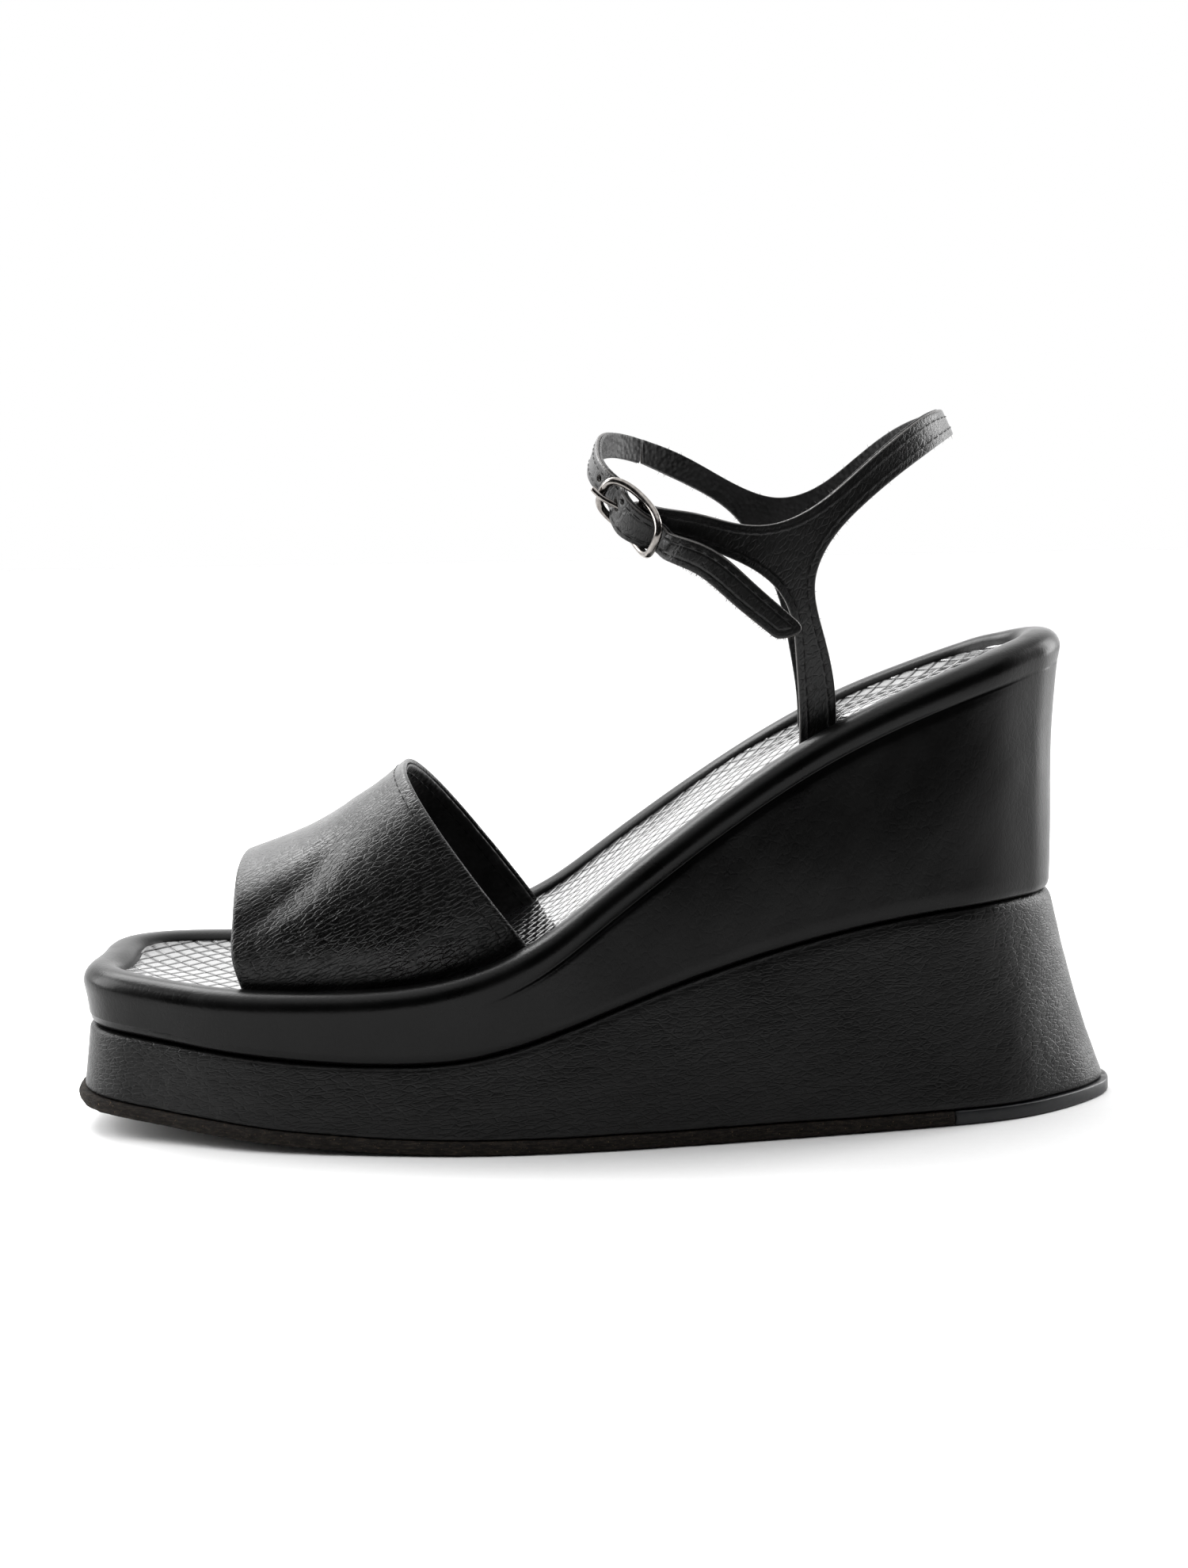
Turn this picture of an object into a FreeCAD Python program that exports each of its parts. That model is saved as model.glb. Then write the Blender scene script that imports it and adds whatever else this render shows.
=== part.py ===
# Left-foot ankle-strap platform wedge sandal.
# X runs along the shoe (toe at -X, heel at +X), -Y is the outer side of the foot,
# and Z is up from the ground. All sizes are in millimetres.
import FreeCAD, Part
import math
import os

from FreeCAD import Placement, Rotation, Vector

os.makedirs("parts", exist_ok=True)
doc = FreeCAD.newDocument("wedge_sandal")

# ---------------------------------------------------------------- driving sizes
DRIVING_SIZES = {
    "outsole_thick": 3.4,
    "top_lift_front": 84.0,
    "cover_leather": 1.2,
    "roll_overhang": 1.5,
    "rim_width": 8.4,
    "rim_depth": 8.5,
    "board_thick": 2.0,
    "pad_thick": 2.5,
    "sock_depth": 2.6,
    "upper_leather": 1.0,
    "lining_leather": 0.65,
    "glue_gap": 0.04,
    "band_leather": 1.3,
    "band_lining": 0.9,
    "leg_half_width": 4.4,
    "hinge_gap": 0.35,
    "strap_half_width": 3.3,
    "ring_half_length": 9.6,
    "ring_half_width": 5.4,
    "ring_wire_radius": 0.95,
    "ring_arch": 2.4,
    "ring_clearance": 1.5,
    "ring_squareness": 2.5,
    "loop_clearance": 0.25,
    "bar_radius": 0.8,
    "bar_clearance": 0.1,
    "loop_leather": 1.0,
    "prong_radius": 0.65,
    "prong_slot_width": 2.4,
    "billet_join": 12.0,
    "join_reach": 60.0,
    "join_low": 140.0,
    "anchor_depth": 17.0,
    "block_reach": 75.0,
    "block_height": 150.0,
}

sheet = doc.addObject("Spreadsheet::Sheet", "Sizes")
for row, (alias, value) in enumerate(DRIVING_SIZES.items(), start=1):
    sheet.set("A%d" % row, alias)
    sheet.set("B%d" % row, str(value))
    sheet.setAlias("B%d" % row, alias)
doc.recompute()


def size(alias):
    """A driving size read back from the sheet."""
    return float(sheet.get(alias))


# ---------------------------------------------------------------- outlines
# Plan outline of the sole where it meets the ground, from the heel's back round
# the outer side to the square toe and back along the inner side.
SOLE_OUTLINE = [
    (128.0, 3.0), (126.9, -2.6), (123.2, -8.2), (114.0, -17.0), (102.6, -24.5), (82.3, -31.3), (43.7, -39.3),
    (6.2, -45.8), (-30.3, -48.6), (-58.0, -46.2), (-88.0, -40.0), (-110.0, -31.4),
    (-122.5, -25.0), (-127.6, -16.0), (-128.0, 2.5), (-127.6, 21.0), (-122.5, 31.0),
    (-106.0, 40.5), (-76.0, 47.6), (-45.0, 48.4), (-10.0, 44.2), (30.0, 37.8),
    (70.0, 34.8), (98.0, 31.2), (114.0, 23.2), (123.2, 14.2), (126.9, 8.6),
]
# The lower tier's outline if its walls went up to the heel's seam height.
LOWER_TOP_OUTLINE = [
    (112.2, 3.0), (111.3, -2.4), (108.4, -7.6), (102.6, -14.6), (95.0, -20.3), (78.0, -26.2), (42.0, -33.6),
    (6.0, -39.6), (-30.3, -42.2), (-56.0, -40.0), (-84.0, -34.6), (-103.5, -27.0),
    (-115.0, -20.5), (-120.6, -13.5), (-121.2, 2.5), (-120.6, 18.0), (-115.0, 26.5),
    (-100.0, 35.0), (-73.0, 41.4), (-44.0, 42.2), (-10.0, 38.8), (29.0, 33.6),
    (67.0, 30.8), (92.0, 26.6), (102.6, 20.6), (108.4, 13.6), (111.3, 8.4),
]
# The upper tier's outline, which the footbed shares.
LAST_OUTLINE = [
    (112.6, 3.0), (111.8, -2.8), (109.2, -8.2), (104.4, -13.6), (96.0, -20.2), (80.0, -26.6), (44.0, -34.4),
    (6.0, -41.6), (-30.0, -45.8), (-58.0, -43.6), (-88.0, -37.6), (-108.0, -29.4),
    (-119.0, -22.6), (-124.4, -14.5), (-124.9, 2.5), (-124.4, 19.5), (-119.0, 28.4),
    (-103.0, 37.8), (-74.0, 44.6), (-45.0, 45.4), (-10.0, 41.4), (30.0, 35.0),
    (70.0, 31.6), (96.0, 26.2), (104.4, 19.6), (109.2, 14.2), (111.8, 8.8),
]
# Side profiles as (X, Z): the ground line with its toe spring, the seam between
# the tiers, and the top of the padded rim.
GROUND_LINE = [
    (140.0, 0.0), (60.0, 0.0), (10.0, 0.0), (-35.0, 0.0), (-70.0, 1.3), (-100.0, 3.7), (-140.0, 7.6),
]
SEAM_LINE = [
    (140.0, 52.2), (115.0, 52.1), (83.2, 50.9), (44.7, 44.5), (7.0, 33.1), (-11.6, 26.4),
    (-30.0, 21.6), (-48.3, 20.2), (-85.8, 22.0), (-116.0, 24.8), (-140.0, 25.2),
]
RIM_LINE = [
    (140.0, 122.5), (115.0, 117.0), (100.0, 113.0), (80.0, 106.2), (60.0, 98.0), (40.0, 87.0), (20.0, 73.5),
    (0.0, 58.7), (-11.0, 50.7), (-25.0, 43.6), (-42.0, 39.2), (-65.0, 37.3), (-92.0, 37.3),
    (-118.0, 39.2), (-140.0, 40.6),
]


def spline(points, closed=False):
    """A smooth edge through the points."""
    curve = Part.BSplineCurve()
    curve.interpolate(Points=points, PeriodicFlag=closed)
    return curve.toShape()


def inset_outline(outline, inset):
    """The outline's points moved inwards along their normals (outwards if negative)."""
    moved = []
    count = len(outline)
    for index, (x, y) in enumerate(outline):
        x_before, y_before = outline[index - 1]
        x_after, y_after = outline[(index + 1) % count]
        along = Vector(x_after - x_before, y_after - y_before, 0).normalize()
        moved.append((x + along.y * inset, y - along.x * inset))
    return moved


def plan_wire(outline, inset, height):
    """The closed plan outline at a height, inset from its edge."""
    points = [Vector(x, y, height) for x, y in inset_outline(outline, inset)]
    return Part.Wire([spline(points, closed=True)])


def feature(name, shape):
    """A document object that holds a shape worked out here from the sheet's sizes."""
    item = doc.addObject("Part::Feature", name)
    item.Shape = shape
    return item


def extrusion(name, profile, direction, length_cell):
    """A profile pushed along a direction by a length kept in the sheet."""
    item = doc.addObject("Part::Extrusion", name)
    item.Base = profile
    item.DirMode = "Custom"
    item.Dir = direction
    item.Solid = True
    item.setExpression("LengthFwd", "Sizes." + length_cell)
    return item


def boolean(kind, name, base, tool):
    """A Part::Cut of tool from base, or a Part::Common of both."""
    item = doc.addObject("Part::" + kind, name)
    item.Base = base
    item.Tool = tool
    return item


def fuse(name, *pieces):
    """Several shapes joined into one."""
    item = doc.addObject("Part::MultiFuse", name)
    item.Shapes = list(pieces)
    item.Refine = True
    return item


def cut_all(name, base, *tools):
    """Base with each tool taken away in turn."""
    item = base
    for index, tool in enumerate(tools):
        last = index == len(tools) - 1
        item = boolean("Cut", name if last else "%s_step_%d" % (name, index), item, tool)
    return item


def last_block(name, inset):
    """An upright block with the upper tier's plan outline."""
    face = feature(name + "_plan", Part.Face(plan_wire(LAST_OUTLINE, inset, 0.0)))
    return extrusion(name, face, Vector(0, 0, 1), "block_height")


def tier_block(name, inset):
    """The lower tier's flared block, from the sole outline to the heel's seam height."""
    foot = feature(name + "_foot", plan_wire(SOLE_OUTLINE, inset, 0.0))
    head = feature(name + "_head", plan_wire(LOWER_TOP_OUTLINE, inset, SEAM_LINE[0][1] + 1.0))
    item = doc.addObject("Part::Loft", name)
    item.Sections = [foot, head]
    item.Solid = True
    item.Ruled = True
    return item


def layer(name, lower_line, lower_shift, upper_line, upper_shift):
    """A slab right across the shoe between two side profiles."""
    reach = size("block_reach")
    lower = [Vector(x, -reach, z + lower_shift) for x, z in lower_line]
    upper = [Vector(x, -reach, z + upper_shift) for x, z in upper_line]
    ends = [Part.makeLine(lower[0], upper[0]), Part.makeLine(lower[-1], upper[-1])]
    outline = Part.Wire(Part.__sortEdges__([spline(lower), spline(upper)] + ends))
    face = feature(name + "_side", Part.Face(outline))
    item = extrusion(name, face, Vector(0, 1, 0), "block_reach")
    item.setExpression("LengthFwd", "Sizes.block_reach * 2")
    return item


def box(name, low, high):
    """A box between two corners, used to divide pieces."""
    item = doc.addObject("Part::Box", name)
    item.Length = high[0] - low[0]
    item.Width = high[1] - low[1]
    item.Height = high[2] - low[2]
    item.Placement = Placement(Vector(*low), Rotation())
    return item


NODES = {}


def node(name, item):
    """Names a finished sub-part: its Label is the file it is written to."""
    item.Label = name
    NODES[name] = item
    return item


# ---------------------------------------------------------------- sole and wedge
outsole_thick = size("outsole_thick")
leather = size("cover_leather")
rim_depth = size("rim_depth")

flared_block = tier_block("FlaredBlock", 0.0)
flared_core = tier_block("FlaredCore", leather)
sole_layer = layer("SoleLayer", GROUND_LINE, 0.0, GROUND_LINE, outsole_thick)
lower_layer = layer("LowerLayer", GROUND_LINE, outsole_thick, SEAM_LINE, 0.0)
whole_sole = boolean("Common", "WholeSole", flared_block, sole_layer)
heel_zone = box("HeelZone", (size("top_lift_front"), -60.0, -5.0), (140.0, 60.0, 10.0))
heel_zone.setExpression("Placement.Base.x", "Sizes.top_lift_front")

node("outsole", boolean("Cut", "Outsole", whole_sole, heel_zone))
node("top_lift", boolean("Common", "TopLift", whole_sole, heel_zone))
lower_core = node("lower_wedge_core", boolean("Common", "LowerCore", flared_core, lower_layer))
lower_solid = boolean("Common", "LowerSolid", flared_block, lower_layer)
node("lower_wedge_cover", boolean("Cut", "LowerCover", lower_solid, lower_core))

# ---------------------------------------------------------------- toe band
# Sections of the band's outer face: where its feet stand at each side, how far the
# section leans back, how high its crown is above the feet, and how far the crown
# lies from the middle line.
BAND_SECTIONS = [
    {"foot_x": -83.0, "foot_z": 31.0, "outer_y": -30.9, "inner_y": 34.2, "crown_x": -88.0, "crown_z": 64.3},
    {"foot_x": -61.0, "foot_z": 31.2, "outer_y": -34.6, "inner_y": 36.8, "crown_x": -74.0, "crown_z": 69.4},
    {"foot_x": -38.0, "foot_z": 33.4, "outer_y": -36.2, "inner_y": 36.4, "crown_x": -62.5, "crown_z": 76.0},
    {"foot_x": -14.0, "foot_z": 42.4, "outer_y": -34.4, "inner_y": 33.4, "crown_x": -47.5, "crown_z": 87.2},
]
# Half an arch as (share of the half width, share of the height).
ARCH_SHAPE = [(1.0, 0.0), (1.03, 0.28), (0.97, 0.55), (0.75, 0.82), (0.38, 0.965), (0.0, 1.0)]


def arch_points(section, depth):
    """Points along one section of the toe band, a depth below its outer face."""
    middle_y = (section["outer_y"] + section["inner_y"]) / 2
    half_width = (section["inner_y"] - section["outer_y"]) / 2 - depth
    rise = Vector(section["crown_x"] - section["foot_x"], 0, section["crown_z"] - section["foot_z"])
    height = rise.Length - depth
    rise.normalize()
    foot = Vector(section["foot_x"], middle_y, section["foot_z"])
    outer_half = [foot + Vector(0, -half_width * w, 0) + rise * (height * h) for w, h in ARCH_SHAPE]
    inner_half = [foot + Vector(0, half_width * w, 0) + rise * (height * h) for w, h in ARCH_SHAPE[:-1]]
    return outer_half + inner_half[::-1]


def band_shell(name, near_depth, far_depth):
    """The toe band between two depths below its outer face."""
    wires = []
    for section in BAND_SECTIONS:
        near = arch_points(section, near_depth)
        far = arch_points(section, far_depth)
        feet = [Part.makeLine(near[0], far[0]), Part.makeLine(near[-1], far[-1])]
        wires.append(Part.Wire(Part.__sortEdges__([spline(near), feet[1], spline(far), feet[0]])))
    return feature(name, Part.makeLoft(wires, True, False))


band_leather = size("band_leather")
band_total = band_leather + size("band_lining")
node("toe_band_outer", band_shell("ToeBand", 0.0, band_leather))
node("toe_band_lining", band_shell("ToeBandLining", band_leather + size("glue_gap"), band_total))
band_space = band_shell("BandSpace", -size("glue_gap"), band_total + size("glue_gap"))

# ---------------------------------------------------------------- ankle straps
# The straps lie on a wall round the ankle. Its rings are ellipses: height, front
# and back in X, and half width in Y, all of the leather's outer face.
ANKLE_RINGS = [
    {"z": 84.0, "front": -6.0, "back": 99.0, "half_width": 21.2},
    {"z": 108.0, "front": -6.0, "back": 99.0, "half_width": 25.9},
    {"z": 134.0, "front": -6.0, "back": 98.0, "half_width": 30.4},
    {"z": 174.0, "front": 3.2, "back": 83.0, "half_width": 30.4},
]


def ankle_wall(depth):
    """The space inside the ankle wall, a depth below the leather's outer face."""
    wires = []
    for ring in ANKLE_RINGS:
        half_length = (ring["back"] - ring["front"]) / 2 - depth
        middle = Vector((ring["back"] + ring["front"]) / 2, 0, ring["z"])
        ellipse = Part.Ellipse(middle, half_length, ring["half_width"] - depth)
        wires.append(Part.Wire([ellipse.toShape()]))
    return Part.makeLoft(wires, True, True)


def side_face(stretches, reach):
    """A face in the XZ plane at Y = reach: two points make a line, three or more a curve."""
    edges = []
    for stretch in stretches:
        points = [Vector(x, reach, z) for x, z in stretch]
        edges.append(Part.makeLine(*points) if len(points) == 2 else spline(points))
    return Part.Face(Part.Wire(Part.__sortEdges__(edges)))


def half_disc(centre, radius):
    """The rounded lower end of a leg, from its back corner round to its front corner."""
    x, z = centre
    angles = [0, -30, -60, -90, -120, -150, -180]
    return [(x + radius * math.cos(math.radians(a)), z + radius * math.sin(math.radians(a))) for a in angles]


leg_half = size("leg_half_width")
OUTER_HINGE = (52.6, 97.4)
INNER_HINGE = (56.3, 99.2)
outer_foot = half_disc(OUTER_HINGE, leg_half)
inner_foot = half_disc(INNER_HINGE, leg_half)
BACK_TOP = (90.0, 170.4)
BACK_LOW = (90.0, 164.4)

# Side views of the two quarters, each from its front branch's top edge round.
OUTER_QUARTER = [
    [(15.0, 147.9), (23.2, 146.2), (31.5, 143.9), (40.6, 143.1), (49.7, 146.2), (63.7, 156.8),
     (73.8, 164.4), (81.3, 168.6), BACK_TOP],
    [BACK_TOP, BACK_LOW],
    [BACK_LOW, (85.9, 162.7), (79.1, 158.8), (73.4, 155.1), (63.5, 147.6), (54.6, 138.0),
     (51.6, 130.0), (53.4, 118.6), (56.4, 105.5), outer_foot[0]],
    outer_foot,
    [outer_foot[-1], (46.8, 112.2), (45.6, 118.4), (42.2, 125.0), (37.7, 129.1), (31.3, 132.9),
     (23.1, 136.7), (15.0, 139.6)],
    [(15.0, 139.6), (15.0, 147.9)],
]
INNER_QUARTER = [
    [(9.0, 165.2), (20.0, 161.6), (30.3, 156.4), (40.6, 151.1), (48.5, 149.2), (56.5, 150.9),
     (66.1, 157.2), (80.6, 167.4), BACK_TOP],
    [BACK_TOP, BACK_LOW],
    [BACK_LOW, (85.0, 163.0), (76.5, 158.6), (66.5, 151.0), (58.5, 142.0), (55.6, 132.0),
     (56.6, 119.0), (59.6, 107.0), inner_foot[0]],
    inner_foot,
    [inner_foot[-1], (50.2, 112.0), (48.6, 121.0), (45.0, 131.0), (40.5, 139.6), (35.5, 145.7),
     (25.1, 152.4), (14.7, 157.3), (9.0, 159.7)],
    [(9.0, 159.7), (9.0, 165.2)],
]


def quarter_shape(stretches, side, near_depth, far_depth):
    """One quarter cut from the ankle wall: side is -1 for the outer, 1 for the inner."""
    reach = size("block_reach")
    view = side_face(stretches, 0.0).extrude(Vector(0, side * reach, 0))
    wall = ankle_wall(near_depth).cut(ankle_wall(far_depth))
    return wall.common(view)


upper_leather = size("upper_leather")
lining_start = upper_leather + size("glue_gap")
strap_depth = lining_start + size("lining_leather")

# ---------------------------------------------------------------- buckle place
# The buckle's own frame: u along the strap towards the front of the ankle, v across
# the strap, n away from the ankle. Its origin is the middle of the bar.
BUCKLE_CENTRE = Vector(8.5, -24.0, 146.3)
U_AXIS = Vector(-0.60, 0.46, 0.65).normalize()
V_AXIS = (Vector(0.35, -0.58, 0.735) - U_AXIS * U_AXIS.dot(Vector(0.35, -0.58, 0.735))).normalize()
N_AXIS = V_AXIS.cross(U_AXIS).normalize()


def at_buckle(u, v, n):
    """A point given in the buckle's frame."""
    return BUCKLE_CENTRE + U_AXIS * u + V_AXIS * v + N_AXIS * n


ring_half_length = size("ring_half_length")
strap_half = size("strap_half_width")
hinge_gap = size("hinge_gap")
half_gap = hinge_gap / 2
loop_outer = size("bar_radius") + size("bar_clearance") + size("loop_leather")
under_ring = size("ring_arch") - size("ring_wire_radius") - upper_leather - size("ring_clearance")
over_bar = loop_outer + size("lining_leather") + size("loop_clearance")

# The billet runs from the inner quarter's front branch round the front of the ankle,
# under the ring, over the bar and under the ring again, and goes on as the free tail.
# Each station is a point on the line where leather and lining meet, the direction
# across the strap, and half its width there.
STRAP_STATIONS = [
    (Vector(12.5, 19.9, 161.3), Vector(0.03, 0.0, 1.0), 3.0),
    (Vector(5.6, 11.6, 162.7), Vector(0.12, 0.0, 1.0), 3.0),
    (Vector(1.9, 1.0, 161.4), Vector(0.28, 0.0, 0.96), 3.1),
    (Vector(1.0, -9.5, 157.6), Vector(0.36, -0.30, 0.88), 3.2),
    (at_buckle(10.2, 0, under_ring), V_AXIS, strap_half),
    (at_buckle(7.9, 0, under_ring), V_AXIS, strap_half),
    (at_buckle(4.6, 0, over_bar * 0.5), V_AXIS, strap_half),
    (at_buckle(0.0, 0, over_bar), V_AXIS, strap_half),
    (at_buckle(-4.6, 0, over_bar * 0.45), V_AXIS, strap_half),
    (at_buckle(-7.9, 0, under_ring), V_AXIS, strap_half),
    (at_buckle(-10.2, 0, under_ring), V_AXIS, strap_half),
    (Vector(18.6, -31.0, 138.7), Vector(0.42, -0.42, 0.80), 3.2),
    (Vector(24.6, -33.6, 135.6), Vector(0.50, -0.22, 0.84), 3.2),
    (Vector(33.6, -35.4, 128.4), Vector(0.62, -0.08, 0.78), 3.2),
    (Vector(40.6, -35.8, 122.2), Vector(0.68, 0.0, 0.73), 3.0),
    (Vector(45.6, -35.8, 117.9), Vector(0.70, 0.0, 0.71), 1.3),
]
TAIL_FOLD = 11
STRAP_END = len(STRAP_STATIONS) - 1


def strap_shape(first, last, low, high):
    """The strap lofted from one station to another, between two heights over its middle
    line. At the tail's fold it stops short by half the hinge gap."""
    corner_lines = [[], [], [], []]
    for index in range(first, last + 1):
        centre, across, half_width = STRAP_STATIONS[index]
        before = STRAP_STATIONS[max(index - 1, 0)][0]
        after = STRAP_STATIONS[min(index + 1, STRAP_END)][0]
        along = (after - before).normalize()
        if index == TAIL_FOLD:
            centre = centre + along * (half_gap if index == first else -half_gap)
        across = (across - along * across.dot(along)).normalize()
        out = across.cross(along).normalize() * -1.0
        corners = [(1, low), (1, high), (-1, high), (-1, low)]
        for line, (side, height) in zip(corner_lines, corners):
            line.append(centre + across * (side * half_width) + out * height)
    edges = [spline(line) for line in corner_lines]
    faces = [Part.makeRuledSurface(edges[i - 1], edges[i]) for i in range(4)]
    for end in (0, -1):
        corners = [line[end] for line in corner_lines]
        faces.append(Part.Face(Part.makePolygon(corners + corners[:1])))
    shell = Part.makeShell(faces)
    shell.sewShape()
    solid = Part.makeSolid(shell)
    if solid.Volume < 0:
        solid.reverse()
    return solid


def local_prism(points, half_width):
    """A profile drawn in the buckle's u and n, extruded across the strap both ways."""
    wire = Part.makePolygon([at_buckle(u, -half_width, n) for u, n in points + points[:1]])
    return Part.Face(wire).extrude(V_AXIS * (2 * half_width))


leather_low = size("glue_gap") / 2
lining_low = -leather_low - size("lining_leather")
slot_half = size("prong_slot_width") / 2
SLOT_PROFILE = [(1.2, 0.0), (1.2, 5.5), (8.6, 5.5), (8.6, -2.4), (4.0, -2.4)]
prong_slot = local_prism(SLOT_PROFILE, slot_half)

outer_leather = quarter_shape(OUTER_QUARTER, -1, 0.0, upper_leather)
outer_inside = quarter_shape(OUTER_QUARTER, -1, lining_start, strap_depth)
node("outer_quarter_leather", feature("OuterQuarter", outer_leather))
node("outer_quarter_lining", feature("OuterQuarterLining", outer_inside))

inner_leather = quarter_shape(INNER_QUARTER, 1, 0.0, upper_leather)
inner_inside = quarter_shape(INNER_QUARTER, 1, lining_start, strap_depth)
# The billet and the quarter are one cut of leather: they meet on a plane near the
# front of the ankle, and nothing of either crosses it.
join_x = size("billet_join")
join_reach = size("join_reach")
join_low = size("join_low")
ahead_of_join = Part.makeBox(join_reach, join_reach, join_reach, Vector(join_x - join_reach, 0, join_low))
behind_join = Part.makeBox(join_reach, join_reach, join_reach, Vector(join_x, 0, join_low))


def quarter_with_billet(quarter, low, high):
    """The quarter and the billet as one piece, with the prong's slot cut through it."""
    billet = strap_shape(0, TAIL_FOLD, low, high).cut(behind_join)
    return quarter.cut(ahead_of_join).fuse(billet).cut(prong_slot).removeSplitter()


node(
    "inner_quarter_leather",
    feature("InnerQuarter", quarter_with_billet(inner_leather, leather_low, upper_leather + leather_low)))
node(
    "inner_quarter_lining",
    feature("InnerQuarterLining", quarter_with_billet(inner_inside, lining_low, -leather_low)))

tail_leather = strap_shape(TAIL_FOLD, STRAP_END, leather_low, upper_leather + leather_low)
tail_inside = strap_shape(TAIL_FOLD, STRAP_END, lining_low, -leather_low)
node("strap_tail_leather", feature("TailLeather", tail_leather))
node("strap_tail_lining", feature("TailLining", tail_inside))


def anchor_shape(hinge, side):
    """The fixed root of a leg, lasted under the sock: its top is hollowed to a round seat
    that clears the leg's round end."""
    x, z = hinge
    low = z - size("anchor_depth")
    view = side_face([[(x - leg_half, z), (x + leg_half, z)], [(x + leg_half, z), (x + leg_half, low)],
                      [(x + leg_half, low), (x - leg_half, low)], [(x - leg_half, low), (x - leg_half, z)]], 0.0)
    slab = view.extrude(Vector(0, side * size("block_reach"), 0))
    wall = ankle_wall(0.0).cut(ankle_wall(strap_depth))
    round_end = Part.makeCylinder(leg_half + hinge_gap, 2 * size("block_reach"),
                                  Vector(x, -size("block_reach"), z), Vector(0, 1, 0))
    return wall.common(slab).cut(round_end)


outer_anchor = node("outer_anchor_tab", feature("OuterAnchor", anchor_shape(OUTER_HINGE, -1)))
inner_anchor = node("inner_anchor_tab", feature("InnerAnchor", anchor_shape(INNER_HINGE, 1)))

# ---------------------------------------------------------------- buckle
def ring_point(angle):
    """A point on the ring's middle line: a rounded oval whose ends arch outwards."""
    squareness = size("ring_squareness")
    cosine = math.cos(angle)
    sine = math.sin(angle)
    u = ring_half_length * math.copysign(abs(cosine) ** (2 / squareness), cosine)
    v = size("ring_half_width") * math.copysign(abs(sine) ** (2 / squareness), sine)
    return at_buckle(u, v, size("ring_arch") * (u / ring_half_length) ** 2)


RING_POINTS = 24
ring_curve = Part.BSplineCurve()
ring_curve.interpolate(
    Points=[ring_point(2 * math.pi * (i + 0.5) / RING_POINTS) for i in range(RING_POINTS)], PeriodicFlag=True)


def half_ring(first, last):
    """The ring's round wire swept along one half of its middle line."""
    piece = ring_curve.copy()
    piece.segment(first, last)
    path = piece.toShape()
    start = path.valueAt(path.FirstParameter)
    heading = path.tangentAt(path.FirstParameter)
    section = Part.Wire([Part.Circle(start, heading, size("ring_wire_radius")).toShape()])
    return Part.Wire([path]).makePipeShell([section], True, True)


ring_middle = (ring_curve.FirstParameter + ring_curve.LastParameter) / 2
ring_shape = half_ring(ring_curve.FirstParameter, ring_middle).fuse(
    half_ring(ring_middle, ring_curve.LastParameter)).removeSplitter()
buckle_ring = node("buckle_frame", feature("BuckleFrame", ring_shape))

bar = doc.addObject("Part::Cylinder", "BarStock")
bar.setExpression("Radius", "Sizes.bar_radius")
bar.setExpression("Height", "Sizes.ring_half_width * 2")
bar.Placement = Placement(at_buckle(0, -size("ring_half_width"), 0), Rotation(Vector(0, 0, 1), V_AXIS))
node("buckle_bar", boolean("Cut", "BuckleBar", bar, buckle_ring))

eye_half = slot_half - 0.4
bar_hole = size("bar_radius") + size("bar_clearance")


def bar_tube(radius, half_width):
    """A cylinder round the bar's axis."""
    return Part.makeCylinder(radius, 2 * half_width, at_buckle(0, -half_width, 0), V_AXIS)


eye = bar_tube(bar_hole + 0.8, eye_half)
PRONG_PATH = [(0.9, 0.75), (3.6, 1.6), (7.0, 3.2), (10.0, 4.25), (11.6, 4.3)]
prong_line = spline([at_buckle(u, 0, n) for u, n in PRONG_PATH])
prong_root_u, prong_root_n = PRONG_PATH[0]
prong_start = Part.Circle(at_buckle(prong_root_u, 0, prong_root_n),
                          prong_line.tangentAt(prong_line.FirstParameter), size("prong_radius"))
prong_arm = Part.Wire([prong_line]).makePipeShell([Part.Wire([prong_start.toShape()])], True, True)
prong_shape = eye.fuse(prong_arm).cut(bar_tube(bar_hole, eye_half * 2)).removeSplitter()
node("buckle_prong", feature("BuckleProng", prong_shape))

LOOP_PROFILE = [(0.0, loop_outer), (0.0, -loop_outer), (-8.5, -4.9), (-8.5, -3.2), (-3.0, -0.2)]
loop_slab = local_prism(LOOP_PROFILE, strap_half)
loop_shape = bar_tube(loop_outer, strap_half).fuse(loop_slab)
loop_shape = loop_shape.cut(bar_tube(bar_hole, strap_half * 2))
GATE_PROFILE = [(-2.6, -4.0), (4.0, -4.0), (4.0, 4.0), (-2.6, 4.0)]
prong_gate = local_prism(GATE_PROFILE, slot_half)
loop_shape = loop_shape.cut(prong_gate).cut(outer_leather).cut(outer_inside)
largest = max(loop_shape.Solids, key=lambda solid: solid.Volume)
node("buckle_loop", feature("BuckleLoop", largest))

# ---------------------------------------------------------------- upper tier and footbed
wall_block = last_block("WallBlock", 0.0)
core_block = last_block("CoreBlock", leather)
roll_block = last_block("RollBlock", -size("roll_overhang"))
filler_outside = last_block("FillerOutside", leather - size("roll_overhang"))
filler_inside = last_block("FillerInside", size("rim_width") - leather)
sock_block = last_block("SockBlock", size("rim_width"))

wall_layer = layer("WallLayer", SEAM_LINE, 0.0, RIM_LINE, -rim_depth)
roll_layer = layer("RollLayer", RIM_LINE, -rim_depth, RIM_LINE, 0.0)
filler_layer = layer("FillerLayer", RIM_LINE, leather - rim_depth, RIM_LINE, -leather)
board_top = size("board_thick") - rim_depth
pad_top = board_top + size("pad_thick")
board_layer = layer("BoardLayer", RIM_LINE, -rim_depth, RIM_LINE, board_top)
pad_layer = layer("PadLayer", RIM_LINE, board_top, RIM_LINE, pad_top)
sock_layer = layer("SockLayer", RIM_LINE, pad_top, RIM_LINE, -size("sock_depth"))

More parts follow.
